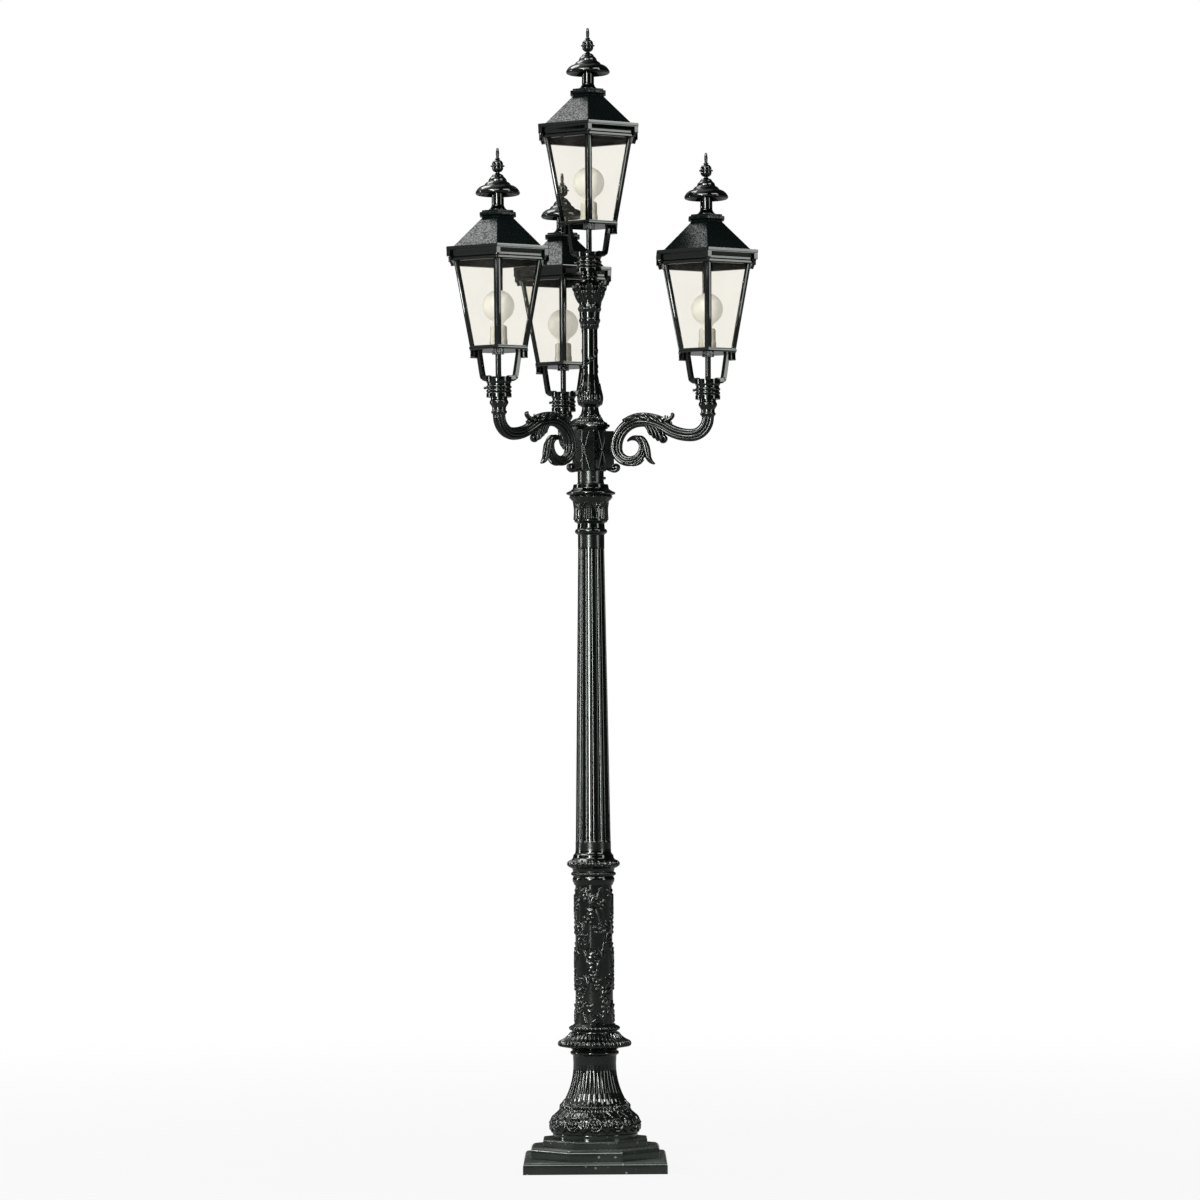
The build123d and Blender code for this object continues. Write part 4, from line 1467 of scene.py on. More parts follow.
@dataclass
class Hub:
    """Hexagonal hub with cross-ribbed panels, its sleeve and its stepped cap."""

    first_arm: float = -17.0
    bottom: float = 2062.0
    sleeve: Turning = Turning(
        0.0, 39.7, ((2, 40.9, 0), (3, 40.9, 0), (2, 39.7, 0), (33, 39.7, 0)), round_off=1.0,
    )
    core: float = 30.3
    radius: float = 52.0
    height: float = 127.0
    edge: float = 1.6
    pad_half: float = 11.0
    panel_margin: float = 12.0
    rib_half: float = 3.0
    rib_height: float = 2.6
    boss_radius: float = 6.5
    boss_height: float = 5.0
    boss_root: float = -1.0
    bead: float = 2.8
    corner_sink: float = 0.8
    pad_sink: float = 0.6
    sharp: float = 24.0
    cap_steps: Points = (
        (40, 0), (54, 0), (55, 2), (56, 4), (60, 6), (62, 7.5), (62, 12), (60.5, 14), (40, 14),
    )
    dome: Turning = Turning(13.5, 50.0, ((7, 47, 0), (15, 32.5, -3), (10, 29, -1)), 1.6, 216, 1.2)
    wire_way: float = 12.0

    def pad(self) -> float:
        """Reach of the flat pad at each arm."""
        return self.radius - self.pad_half / sqrt(3)

    def plan(self) -> list[Point]:
        """Draw the hub in plan, with a flat pad at each arm.

        Returns:
            The corners, the first arm's direction along the first axis.
        """
        pad = self.pad()
        corners = []
        for arm in range(3):
            turn = 2 * pi * arm / 3
            for slide in (-self.pad_half, self.pad_half):
                corners.append((pad * cos(turn) - slide * sin(turn), pad * sin(turn) + slide * cos(turn)))
            plain = turn + pi / 3
            corners.append((self.radius * cos(plain), self.radius * sin(plain)))
        return corners

    def panel(self, side: int) -> Shell:
        """Cross ribs and boss of one panel, at the panel whose middle faces along the first axis.

        Args:
            side: Which way the arm's pad narrows the panel.

        Returns:
            The ribs and the boss.
        """
        narrowed = self.pad_half / cos(pi / 6)
        wide = self.radius - narrowed - 2 * self.rib_half
        tall = self.height - self.panel_margin
        long, lean = hypot(wide, tall) / 2, atan2(wide, tall)
        centre = (self.radius * cos(pi / 6), side * narrowed / 2, self.height / 2)
        shell = Shell()
        for way in (-1, 1):
            rib = [
                (along * sin(lean) * way, along * cos(lean), self.rib_half, self.rib_height)
                for along in (-long, 0.0, long)
            ]
            shell.add(relaid(tapered(rib), (1, 0, 2), centre))
        crown = ((self.boss_height * 0.4, self.boss_radius * 0.9, 0), (self.boss_height * 0.6, 0.0, 1.2))
        line = moulded(self.boss_radius, crown, self.boss_root)
        boss = sweep([(0.0, self.boss_root), *line], RoundRing(segments=20))
        return shell.add(relaid(boss, (2, 0, 1), centre))

    def edge_bead(self, reach: float, aside: float) -> Shell:
        """An upright bead along an edge of the hub, at a reach and a distance to the side."""
        heights = [self.sleeve.rise() + self.height * share for share in (0.04, 0.5, 0.96)]
        return Shell().add(tapered([(reach, height, self.bead, self.bead) for height in heights], aside))

    def build(self) -> None:
        """Build and dress the hub and its cap."""
        foot = self.sleeve.rise()
        top = foot + self.height
        shell = self.sleeve.turn(self.core)
        shell.add(prism(self.plan(), foot, top, self.edge))
        for arm in range(3):
            for side in (-1, 1):
                shell.join(self.panel(-side).placed(120.0 * arm + 30 * side, lift=foot))
        shell.join(RINGS.around(self.edge_bead(self.radius - self.corner_sink, 0.0), count=3, first=60))
        for side in (-1, 1):
            bead = self.edge_bead(self.pad() - self.pad_sink, side * self.pad_half)
            shell.join(RINGS.around(bead, count=3))
        hub = shell.placed(self.first_arm, lift=self.bottom)
        hub.piece("arm_hub_casting", "arm_hub", sharp=self.sharp)
        cap = Shell().add(sweep(self.cap_steps, CornerRing(6, 0, self.edge)))
        leaf = [
            *trail(((0, 15), (0, 30), (0, 44)), (6.5, 6, 2), 4.2),
            *trail(((8, 16), (10.5, 28), (8, 38)), (4, 4, 2), 3.4),
            *trail(((16.4, 15), (16.4, 27), (14, 36)), (4.5, 3.6, 2), 4.0),
        ]
        dome = [(reach, height + self.dome.bottom) for reach, height in self.dome.outline(self.wire_way)]
        cap.join(lathe(dome, self.dome.segments, Frieze(9, 47, leaf).lift))
        cap.placed(self.first_arm, lift=self.bottom + top).piece("hub_cap_casting", "hub_cap")


@dataclass
class Riser:
    """The short upper shaft and the leaf capital that carries the top lantern."""

    shaft: Turning = Turning(2275.0, 29.0, (
        (12, 26, 0), (9, 24.6, 0), (8, 34, 0), (37, 35, 3), (37, 27.6, -0.5), (18, 24, 0), (137, 23.6, 0),
        (20, 30, 0), (14, 30, 2.5), (18, 31, 0), (22, 31, 2.5), (5, 31, 0),
    ), step=2.0, segments=144, round_off=1.2)
    capital: Turning = Turning(2612.0, 31.0, (
        (12, 33, 0), (45, 42, -3), (3, 46, 0), (5, 27, 0), (8, 22, 0), (14, 25, 2.8), (8, 24.7, 0),
    ), round_off=1.2)
    tenon_radius: float = 23.0
    tenon_height: float = 44.0
    wire_way: float = 12.0
    coil: float = 76.0
    leaves: int = 8

    def build_shaft(self) -> None:
        """Build the shaft: a vase-shaped foot, a vine that coils round it and two rows of beads."""
        strokes: list[Stroke] = []
        for coil in range(2):
            start = coil * self.coil - self.coil
            vine = [(start + step * 9.5, 128 + step * 8.0) for step in range(17)]
            strokes += trail(vine, [3.0] * len(vine), 1.7)
            for across, up in vine[1:16:3]:
                strokes += spray((across, up + 3), 100, 14, 3, 2.4)
        lift = together(
            Frieze(1, 24, strokes, mirrored=False),
            Frieze(12, 34, (Stroke((0, 32), (0, 92), 6.5, 3.0, 2.4),)),
            Frieze(14, 31, (dot((0, 265), 6, 1.8),)),
            Frieze(14, 32, (dot((0, 319), 6.5, 2.0),)),
        )
        self.shaft.turn(self.wire_way, lift).placed(lift=self.shaft.bottom).piece("riser_casting", "riser")

    def build_capital(self) -> None:
        """Build the capital: its turned core and tenon in two rings of leaves."""
        capital = self.capital.turn(self.wire_way)
        rise = self.capital.rise()
        tenon = [(self.tenon_radius, rise), (self.tenon_radius, rise + self.tenon_height)]
        capital.join(lathe(bored(tenon, self.wire_way), segments=48))
        leaf = Shell().add(tapered((
            (32, 2, 2, 5), (36, 16, 3, 8.5), (41, 34, 3.6, 10), (46, 47, 4.6, 10), (49.5, 54, 4.6, 8.5),
            (48.5, 47, 3.6, 6.5),
        )))
        leaf.join(blades(((33, 4, 2, 2.4), (39.5, 18, 2.6, 3), (44.5, 34, 2.6, 3), (49.5, 49, 2.4, 2.6))))
        for side in (-9, 9):
            for base, reach in ((8, 34), (22, 39.5), (36, 44.5)):
                out = reach + 4.4
                lobe = ((reach, base, 2.6, 3.2), (out, base + 8, 3.6, 4.4), (out, base + 14, 2.4, 2.8))
                leaf.join(blades(lobe, (side,)))
        capital.join(RINGS.around(leaf, self.leaves))
        small = Shell().add(tapered((
            (33, 2, 3, 5), (39, 14, 4.4, 6.5), (44, 26, 4.6, 7), (46.5, 32, 4, 5.5), (45.5, 26, 3, 4),
        )))
        small.add(tapered(((41, 40, 3, 4), (46, 46, 4.4, 5), (48, 52, 4, 4.6))))
        capital.join(RINGS.around(small, self.leaves, 180 / self.leaves))
        capital.placed(lift=self.capital.bottom).piece("riser_capital_casting", "riser_capital")

    def build(self) -> None:
        """Build and dress the riser and its capital."""
        self.build_shaft()
        self.build_capital()


@dataclass
class ScrollArms:
    """Three scroll arms, drawn in the plane of reach and height above the hub's underside."""

    angles: tuple[tuple[str, float], ...] = (("right", -17.0), ("rear", 103.0), ("left", 223.0))
    hub_bottom: float = 2102.0
    lantern_seat: float = 2310.0
    reach: float = 370.0
    thickness: float = 19.0
    elbow: float = 52.0
    elbow_top: float = 154.0
    hump: Point = (162.0, 150.0)
    trough: Point = (318.0, 102.0)
    limb_bend: float = 80.0
    scroll_bend: float = 42.0
    curl_bend: float = 28.0
    curl_turn: float = 140.0
    scroll_shares: tuple[float, ...] = (0, 0.25, 0.5, 0.7, 0.88, 1.0)
    scroll_widths: tuple[float, ...] = (19, 15.5, 14, 11.5, 7, 2.6)
    crest_span: Pair = (112.0, 246.0)
    crest_bottom: float = 112.0
    crest_wrap: float = 98.0
    crest_lift: float = 0.8
    crest_root: float = 5.0
    lobe_pitch: float = 31.0
    ribs: int = 10
    rib_depth: float = 0.2
    pad: float = 45.25
    foot_half: float = 11.0
    web_half: float = 1.6
    web_end: float = 74.0
    web_rise: Pair = (5.0, 121.0)
    spigot: Turning = Turning(156.0, 19.0, (
        (3, 20.5, 0), (10, 20.5, 3.2), (9, 20.8, 0), (8, 25.5, 0), (14, 25, 2.8), (8, 24.7, 0),
    ), segments=64, round_off=1.0)
    tenon_radius: float = 23.0
    tenon_height: float = 44.0

    def centreline(self) -> list[Point]:
        """Draw the bar's middle line.

        Returns:
            Its points, from the spigot to the top of the scroll's limb.
        """
        half_reach = (self.trough[0] - self.hump[0]) / 2
        half_fall = (self.hump[1] - self.trough[1]) / 2
        bend = (half_reach**2 + half_fall**2) / (2 * half_fall)
        turn = np.degrees(asin(half_reach / bend))
        line = [(self.reach, self.spigot.bottom), (self.reach, self.elbow_top)]
        line += arc((self.trough[0], self.elbow_top), self.elbow, 0, -90, 16)
        line += arc((self.trough[0], self.trough[1] + bend), bend, -90, -90 - turn, 14)
        line += arc((self.hump[0], self.hump[1] - bend), bend, 90 - turn, 90, 14)
        line += arc((self.hump[0], self.hump[1] - self.limb_bend), self.limb_bend, 90, 180, 20)
        return line

    def limb(self) -> Surface:
        """Lay the ribbed bar with its scroll, thinning toward the curl's tip.

        Returns:
            The bar.
        """
        path = [(*spot, self.thickness) for spot in self.centreline()]
        base = self.hump[1] - self.limb_bend
        first = self.hump[0] - self.limb_bend
        eye = (first + 2 * self.scroll_bend - self.curl_bend, base)
        scroll = arc((first + self.scroll_bend, base), self.scroll_bend, 180, 360, 28)
        scroll += arc(eye, self.curl_bend, 0, self.curl_turn, 24)
        shares = np.linspace(0, 1, len(scroll) + 1)[1:]
        widths = np.interp(shares, self.scroll_shares, self.scroll_widths)
        path += [(*spot, width) for spot, width in zip(scroll, widths)]
        return LIMBS.along(np.array(path), self.ribs, self.rib_depth)

    def crest_leaf(self) -> Surface:
        """Lay the lobed leaf over the hump, veined along its length.

        Returns:
            The leaf, closed round its rim.
        """
        line = np.array(self.centreline())
        low, high = self.crest_span
        run = line[(line[:, 0] > low) & (line[:, 0] < high) & (line[:, 1] > self.crest_bottom)][::-1]
        run = smooth_path(run, steps=4)
        share = np.linspace(0, 1, len(run))[:, None]
        spread = np.linspace(-1, 1, 61)[None, :]
        along = np.concatenate(([0.0], np.cumsum(np.linalg.norm(np.diff(run, axis=0), axis=1))))[:, None]
        length = along[-1, 0]
        lobes = 0.76 + 0.24 * np.abs(np.sin(pi * along / self.lobe_pitch)) ** 0.7
        half = np.radians(self.crest_wrap) * np.sin(pi * np.clip(share * 0.86 + 0.1, 0, 1)) ** 0.6 * lobes
        bearing = half * spread
        across = np.abs(bearing) * self.thickness
        veins = [Stroke((0, 0), (0, length), 4.2, 3.4, 4.6)]
        for start in np.arange(-self.lobe_pitch, length, self.lobe_pitch):
            main = ((2, start), (12, start + 10), (23, start + 27), (25, start + 40))
            veins += trail(main, (4.0, 6.6, 6.0, 3.0), 4.6)
            veins += trail(((4, start + 16), (12, start + 25), (17, start + 36)), (2.0, 3.0, 1.6), 3.4)
        raised = np.max([vein.lift(across, along + 0 * across) for vein in veins], axis=0)
        top = self.thickness + self.crest_lift + raised
        layers = []
        for reach in (top, np.full_like(top, self.thickness - self.crest_root)):
            layers.append(beside(run, reach * np.cos(bearing), reach * np.sin(bearing)))
        rows, columns = bearing.shape
        faces = grid_faces(rows, columns, False, False)
        under = rows * columns
        faces += [tuple(under + index for index in reversed(face)) for face in faces]
        loop = [
            *range(columns - 1),
            *range(columns - 1, under - 1, columns),
            *range(under - 1, under - columns, -1),
            *range(under - columns, 0, -columns),
        ]
        for here, after in zip(loop, loop[1:] + loop[:1]):
            faces.append((after, here, under + here, under + after))
        return np.vstack(layers), faces

    def leaves(self) -> Shell:
        """Shape the crest leaf's curled tip, the fingers of the under leaf, its curl and the tail leaf.

        Returns:
            The leaves.
        """
        shell = Shell().add(tapered((
            (222, 147, 7, 14), (238, 148, 7, 12), (250, 152, 6.5, 10), (258, 159, 6, 8.5),
            (260, 165.5, 5.4, 7.5), (256, 168, 4, 6),
        )))
        side_tip = ((214, 150, 4, 4), (228, 151, 4, 5), (238, 157, 3, 4), (240, 163, 2.2, 3))
        shell.join(blades(side_tip, (-12, 12)))
        fingers = (
            ((176, 134), (184, 122), (187, 112), 4.6),
            ((186, 132), (196, 116), (199, 103), 5.2),
            ((197, 130), (208, 110), (211, 95), 5.8),
            ((208, 127), (220, 106), (224, 92), 6.4),
        )
        for root, waist, (reach, height), half in fingers:
            for offset in (-7.0, 0.0, 7.0):
                low = height - (3.0 - abs(offset) * 0.4)
                shell.join(blades((
                    (*root, half, half * 0.9), (*waist, half, half), (reach, low, half * 0.8, half * 0.8),
                    (reach + 5, low - 3, half * 0.5, half * 0.6),
                ), (offset,)))
        curl = [(218, 122, 8, 10), (230, 112, 7, 11)]
        for step in range(8):
            turn, bend = radians(75 - 62 * step), 11.5 - 1.15 * step
            spot = (228 + bend * cos(turn), 92 + bend * sin(turn))
            curl.append((*spot, 5.6 - 0.42 * step, 10.5 - 0.9 * step))
        shell.add(tapered(curl))
        shell.add(tapered((
            (146, 99, 6, 7), (160, 95, 10, 12), (170, 82, 11.5, 13), (175, 64, 11.5, 13), (180, 44, 10, 12),
            (188, 28, 7, 10), (199, 20, 4, 7), (203, 19, 2, 4),
        )))
        tail_ribs = ((164, 92, 3, 3), (178, 78, 4, 3.5), (184, 56, 4, 3.5), (187, 38, 3, 3), (194, 26, 2, 2))
        shell.join(blades(tail_ribs, (-8.0, 8.0)))
        scroll_ribs = (
            (92, 40, 3, 2.4), (108, 24, 3.4, 2.8), (130, 16, 3.2, 2.6), (152, 20, 2.6, 2.2),
            (166, 32, 1.6, 1.6),
        )
        return shell.join(blades(scroll_ribs, (-10.0, 0.0, 10.0)))

    def foot(self) -> Shell:
        """Shape the web against the hub and the small scroll under it.

        Returns:
            The foot.
        """
        half, web = self.foot_half, self.web_half
        plan = ((self.pad, -half), (self.web_end, -web), (self.web_end, web), (self.pad, half))
        shell = Shell().add(prism(plan, *self.web_rise, edge=1.0))
        return shell.add(tapered((
            (50, 8, 5, 12), (62, 4, 6, 13), (76, 0, 6, 13), (86, 5, 5.5, 12.5), (87, 14, 5, 12),
            (79, 18, 4.5, 11.5), (73, 12, 3.6, 11), (77, 8, 3, 10.5),
        )))

    def tip(self) -> Shell:
        """Turn the beaded spigot and its tenon at the arm's end.

        Returns:
            The spigot.
        """
        line = self.spigot.line(self.spigot.bottom)
        root, top = self.spigot.bottom - 4, line[-1][1]
        tenon = [(self.tenon_radius, top), (self.tenon_radius, top + self.tenon_height)]
        outline = bored([(self.thickness - 1, root), *line, *tenon], 0.0)
        return lathe(outline, self.spigot.segments).placed(centre=(self.reach, 0.0))

    def build(self) -> None:
        """Build one arm and set it at each arm's angle."""
        arm = Shell().add(self.limb()).add(self.crest_leaf())
        arm.join(self.leaves()).join(self.foot()).join(self.tip())
        for name, angle in self.angles:
            placed = arm.placed(angle, lift=self.hub_bottom)
            placed.piece(f"scroll_arm_{name}", f"arm_{name}", finish=SATIN)


# Lanterns


@dataclass
class Lantern:
    """One hexagonal lantern; heights are above the underside of its collar and radii run to the corners."""

    name: str
    centre: Point
    seat: float
    hinge_angle: float
    lid: Body
    collar: Turning = Turning(0.0, 37.5, (
        (11, 37.5, 0), (3, 34.8, 0), (9, 34.8, 3), (3, 34.5, 0), (9, 34.5, 3.5), (6, 34.8, 0), (4, 37.7, 0),
        (15, 37.7, 0),
    ), segments=72, round_off=0.9)
    collar_bore: float = 23.3
    leg_first: float = -90.0
    leg_half: float = 8.5
    leg_stations: Points = ((30.0, 58.5), (46.0, 58.5), (54.0, 62.0), (58.5, 70.0), (70.0, 138.0))
    block_height: float = 15.0
    block_depth: float = 26.0
    reeds: int = 4
    reed_pitch: float = 5.2
    reed_bulge: float = 1.3
    reed_curve: Points = ((0.15, 0.0), (0.3, 0.9), (0.5, 1.3), (0.7, 0.9), (0.95, 0.0))
    tray_bottom: float = 138.0
    tray_radius: float = 100.0
    tray_corner: float = 1.4
    tray_rim: Points = (
        (8, 0), (95, 0), (98.5, 1.5), (100, 4), (100, 8), (99, 9.5), (97, 10), (97, 12), (8, 12),
    )
    glass_bottom: float = 150.0
    glass_top: float = 400.0
    bar_foot: float = 98.0
    bar_head: float = 150.0
    bar_half: Points = (
        (0.2, 0.0), (-0.2, 1.2), (-1.5, 2.9), (-2.9, 3.6), (-3.4, 4.4), (-5.4, 9.2), (-6.6, 10.4),
        (-8.2, 9.9), (-10.8, 7.6), (-7.4, 0.8),
    )
    cornice_rim: Points = (
        (137, 400), (154, 400), (156.4, 401.2), (157.5, 403), (157.5, 408.5), (155.5, 410), (158.5, 411),
        (160.5, 412), (160.5, 418), (163.5, 423), (168, 427.5), (171, 430), (172, 430.6), (172, 432.4),
        (174, 432.6), (175, 433.6), (175, 439.5), (174, 441.6), (172, 442), (137, 442),
    )
    cornice_corner: float = 1.8
    ear_plan: Points = (
        (174.2, 0.0), (168.0, 10.4), (164.5, 8.6), (163.0, 0.0), (164.5, -8.6), (168.0, -10.4),
    )
    ear_rise: Pair = (413.0, 433.0)
    drop_reach: float = 161.5
    drop_rise: Pair = (400.0, 416.0)
    drop_profile: Profile = ((3, 4.2, 1.0), (2, 3.8, 0.4), (3, 5.8, 0), (8, 6.6, 0.4))
    roof_line: Points = (
        (144.5, 442.3), (148.8, 442.3), (149.5, 443.2), (149, 444.6), (54, 532.0), (52.5, 533.5),
        (52.2, 535), (54, 537.5), (58.5, 539.6), (61, 540), (62, 541), (62, 547.8), (61, 549.3), (55, 549.8),
        (54, 550.8), (54, 554.3), (53, 555.3), (12, 555.3), (12, 527), (48, 527),
    )
    roof_corner: float = 1.7
    hinge_reach: float = 137.971
    hinge_height: float = 448.5
    knuckle_bore: float = 2.55
    knuckle_radius: float = 6.0
    knuckle_length: float = 16.0
    knuckle_gap: float = 0.5
    fixed_web: Pair = (4.5, 441.0)
    moving_web: Pair = (13.0, 443.2)
    web_clear: float = 2.7
    web_inset: float = 0.3
    ventilator: Turning = Turning(555.3, 28.0, (
        (4, 28, 0), (18, 18.4, -3), (42, 18.4, 0), (3, 36, 0), (-19.5, 59, 0), (0.5, 61, 0), (8, 66, 2),
        (20, 43, 4), (1, 40, 0), (10, 30, 1.5), (1, 28, 0), (14, 19, 2), (9, 9, 2),
    ), segments=72, round_off=1.1)
    finial: Turning = Turning(666.3, 9.0, (
        (2.5, 6, 0), (2.5, 6, 0), (16, 16.3, 4.4), (1.2, 18.6, 0), (2.6, 18.6, 0.8), (1.2, 16.3, 0),
        (16, 5.2, 4.4), (1.5, 7, 0), (3, 7, 0.8), (1.5, 4.4, 0), (14, 5.3, 0), (16, 4.1, 0),
    ), segments=40, round_off=0.8)
    knobs: int = 8
    knob_reach: float = 18.4
    knob_height: float = 20.7
    knob_profile: Profile = ((5.6, 0.0, 2.7),)
    holder_line: Points = (
        (5, 34), (5, 0), (25.5, 0), (26.5, 3), (26.5, 22), (25, 24), (25, 52), (24.6, 59), (22.5, 62.6),
        (19, 64), (13.9, 64), (13.9, 34),
    )
    grip_span: Pair = (27.0, 50.0)
    grip_ribs: int = 14
    grip_depth: float = 0.5
    bulb_radius: float = 47.5
    bulb_height: float = 122.0
    bulb_neck: Points = ((0.0, 36), (13.2, 36), (13.2, 64), (15.5, 69), (17.5, 74))
    bulb_throat: float = 19.0

    def cradle(self) -> Shell:
        """Shape the ringed collar, its three ridged legs and the reeded blocks under the tray.

        Returns:
            The cradle.
        """
        path = smooth_path(self.leg_stations, steps=5)
        half = self.leg_half
        section = np.array((
            (9.0, 0.0), (8.2, 1.4), (5.6, 3.4), (5.0, half - 1.2), (4.0, half), (-7.0, half),
            (-8.0, half - 1.0), (-8.0, 1 - half), (-7.0, -half), (4.0, -half), (5.0, 1.2 - half),
            (5.6, -3.4), (8.2, -1.4),
        ))
        points = beside(path, -section[:, 0], section[:, 1])
        leg = Shell().add((points, capped_faces(len(path), len(section))))
        block = self.reeded_plan()
        foot = self.tray_bottom - self.block_height
        leg.add(prism(block, foot, self.tray_bottom - 0.2, edge=0.8))
        rim = [(reach * 0.985 + 1.9, aside * 1.03) for reach, aside in block]
        leg.add(prism(rim, foot - 2.2, foot + 1.2, edge=0.6))
        return self.collar.turn(self.collar_bore).join(RINGS.around(leg, count=3, first=self.leg_first))

    def reeded_plan(self) -> list[Point]:
        """Draw a corner block in plan, its two outer faces scalloped into upright reeds.

        Returns:
            The plan's corners.
        """
        tip = self.tray_radius - 1.2
        along = (-0.5, sqrt(3) / 2)
        outward = (sqrt(3) / 2, 0.5)
        half = [(tip - 0.4, 0.0)]
        for reed in range(self.reeds):
            for share, bulge in self.reed_curve:
                run, out = (reed + share) * self.reed_pitch, bulge - self.reed_bulge
                half.append((tip + along[0] * run + outward[0] * out, along[1] * run + outward[1] * out))
        half.append((tip - self.block_depth, half[-1][1]))
        return [*half, *((reach, -aside) for reach, aside in reversed(half[1:]))]

    def tray(self) -> Shell:
        """The moulded tray under the glass."""
        rim = [(reach, height + self.tray_bottom) for reach, height in self.tray_rim]
        return Shell().add(sweep(rim, hexagon(self.tray_corner)))

    def bars(self) -> Shell:
        """Shape six leaning angle bars with a raised rib along each corner.

        Returns:
            The bars.
        """
        plan = [*self.bar_half, *((reach, -aside) for reach, aside in reversed(self.bar_half[1:]))]
        foot = [(self.bar_foot + reach, aside) for reach, aside in plan]
        head = [(self.bar_head + reach, aside) for reach, aside in plan]
        bar = prism(foot, self.glass_bottom, self.glass_top, edge=0.2, top=head)
        return RINGS.around(Shell().add(bar), count=6, first=30)

    def cornice(self) -> Shell:
        """Shape the moulded top ring with its corner drops and the fixed hinge knuckles.

        Returns:
            The cornice.
        """
        shell = Shell().add(sweep(self.cornice_rim, hexagon(self.cornice_corner)))
        corner = Shell().add(prism(self.ear_plan, *self.ear_rise, edge=1.0))
        line = moulded(0.0, self.drop_profile, self.drop_rise[0])
        drop = lathe([*line, (0.0, self.drop_rise[1])], segments=20)
        corner.join(drop.placed(centre=(self.drop_reach, 0.0)))
        shell.join(RINGS.around(corner, count=6, first=30))
        start = self.knuckle_length / 2 + self.knuckle_gap
        for first in (-start - self.knuckle_length, start):
            shell.join(self.knuckle(first, *self.fixed_web))
        return shell

    def knuckle(self, first: float, depth: float, base: float) -> Shell:
        """Shape one hinge knuckle with its web.

        Args:
            first: Where it starts along the hinge.
            depth: How far inside the pin the web's inner side lies.
            base: Height of the web's foot.

        Returns:
            The knuckle at the hinge's angle.
        """
        bore, radius, length = self.knuckle_bore, self.knuckle_radius, self.knuckle_length
        barrel = soften([(bore, 0), (radius, 0), (radius, length), (bore, length)], reach=0.6)
        pin = (self.hinge_reach, first, self.hinge_height)
        shell = Shell().add(relaid(sweep(barrel, RoundRing(segments=32)), (1, 2, 0), pin))
        inner, outer = self.hinge_reach - depth, self.hinge_reach - self.web_clear
        start, end = first + self.web_inset, first + length - self.web_inset
        web = ((inner, start), (outer, start), (outer, end), (inner, end))
        return shell.add(prism(web, base, self.hinge_height, edge=0.4)).placed(self.hinge_angle)

    def roof(self) -> Shell:
        """The hollow six-sided roof with its crown and the moving hinge knuckle."""
        shell = Shell().add(sweep(self.roof_line, hexagon(self.roof_corner)))
        return shell.join(self.knuckle(-self.knuckle_length / 2, *self.moving_web))

    def cap(self) -> Shell:
        """The mushroom ventilator on its waisted neck."""
        line = self.ventilator.line(self.ventilator.bottom)
        return lathe(bored(line, 0.0), self.ventilator.segments)

    def spike(self) -> Shell:
        """Turn the finial: a ball with its ring of knobs under a blunt spike.

        Returns:
            The finial.
        """
        bottom = self.finial.bottom
        line = self.finial.line(bottom)
        tip = line[-1][1]
        outline = [(0.0, bottom), *line[:-1], (3.7, tip - 2.2), (2.4, tip - 0.5), (0.0, tip)]
        knob = lathe(moulded(0.0, self.knob_profile, bottom + self.knob_height), segments=12)
        knobs = RINGS.around(knob.placed(centre=(self.knob_reach, 0.0)), self.knobs)
        return lathe(outline, self.finial.segments).join(knobs)

    def holder(self) -> Shell:
        """Turn the lamp holder with its skirt, grip ribs and open socket.

        Returns:
            The holder.
        """
        low, high = (self.glass_bottom + height for height in self.grip_span)

        def grip(angle: Array, height: Array) -> Array:
            """Shallow grip ribs round the holder's upper shell."""
            gripped = (height > low) & (height < high)
            return -self.grip_depth * np.abs(np.sin(angle * self.grip_ribs)) * gripped

        line = [(radius, self.glass_bottom + height) for radius, height in self.holder_line]
        return lathe(divided(line[::-1], step=4.0)[::-1], segments=112, lift=grip)

    def bulb(self) -> Shell:
        """Turn the globe bulb with its neck and the cap inside the socket.

        Returns:
            The bulb.
        """
        low = self.glass_bottom
        middle = low + self.bulb_height
        first = asin(self.bulb_throat / self.bulb_radius)
        line = [(radius, low + height) for radius, height in self.bulb_neck]
        for step in range(1, 32):
            turn = -pi / 2 + first + (pi - first) * step / 32
            line.append((self.bulb_radius * cos(turn), middle + self.bulb_radius * sin(turn)))
        return lathe([*line, (0.0, middle + self.bulb_radius)], segments=72)

    def build(self) -> None:
        """Build and dress every piece of the lantern."""
        plain: dict[str, Any] = {}
        flat = {"sharp": FACETED}
        on_lid = {"body": self.lid}
        pieces = (
            ("cradle", self.cradle(), plain),
            ("tray", self.tray(), flat),
            ("glazing_bars", self.bars(), plain),
            ("cornice", self.cornice(), flat),
            ("lamp_holder", self.holder(), {"finish": IVORY}),
            ("globe_bulb", self.bulb(), {"finish": OPAL}),
            ("roof", self.roof(), {"finish": ROOF, **on_lid, **flat}),
            ("ventilator", self.cap(), on_lid),
            ("finial", self.spike(), on_lid),
        )
        for kind, shell, manner in pieces:
            placed = shell.placed(centre=self.centre, lift=self.seat)
            placed.piece(f"{self.name}_lantern_{kind}", f"{self.name}_{kind}", **manner)


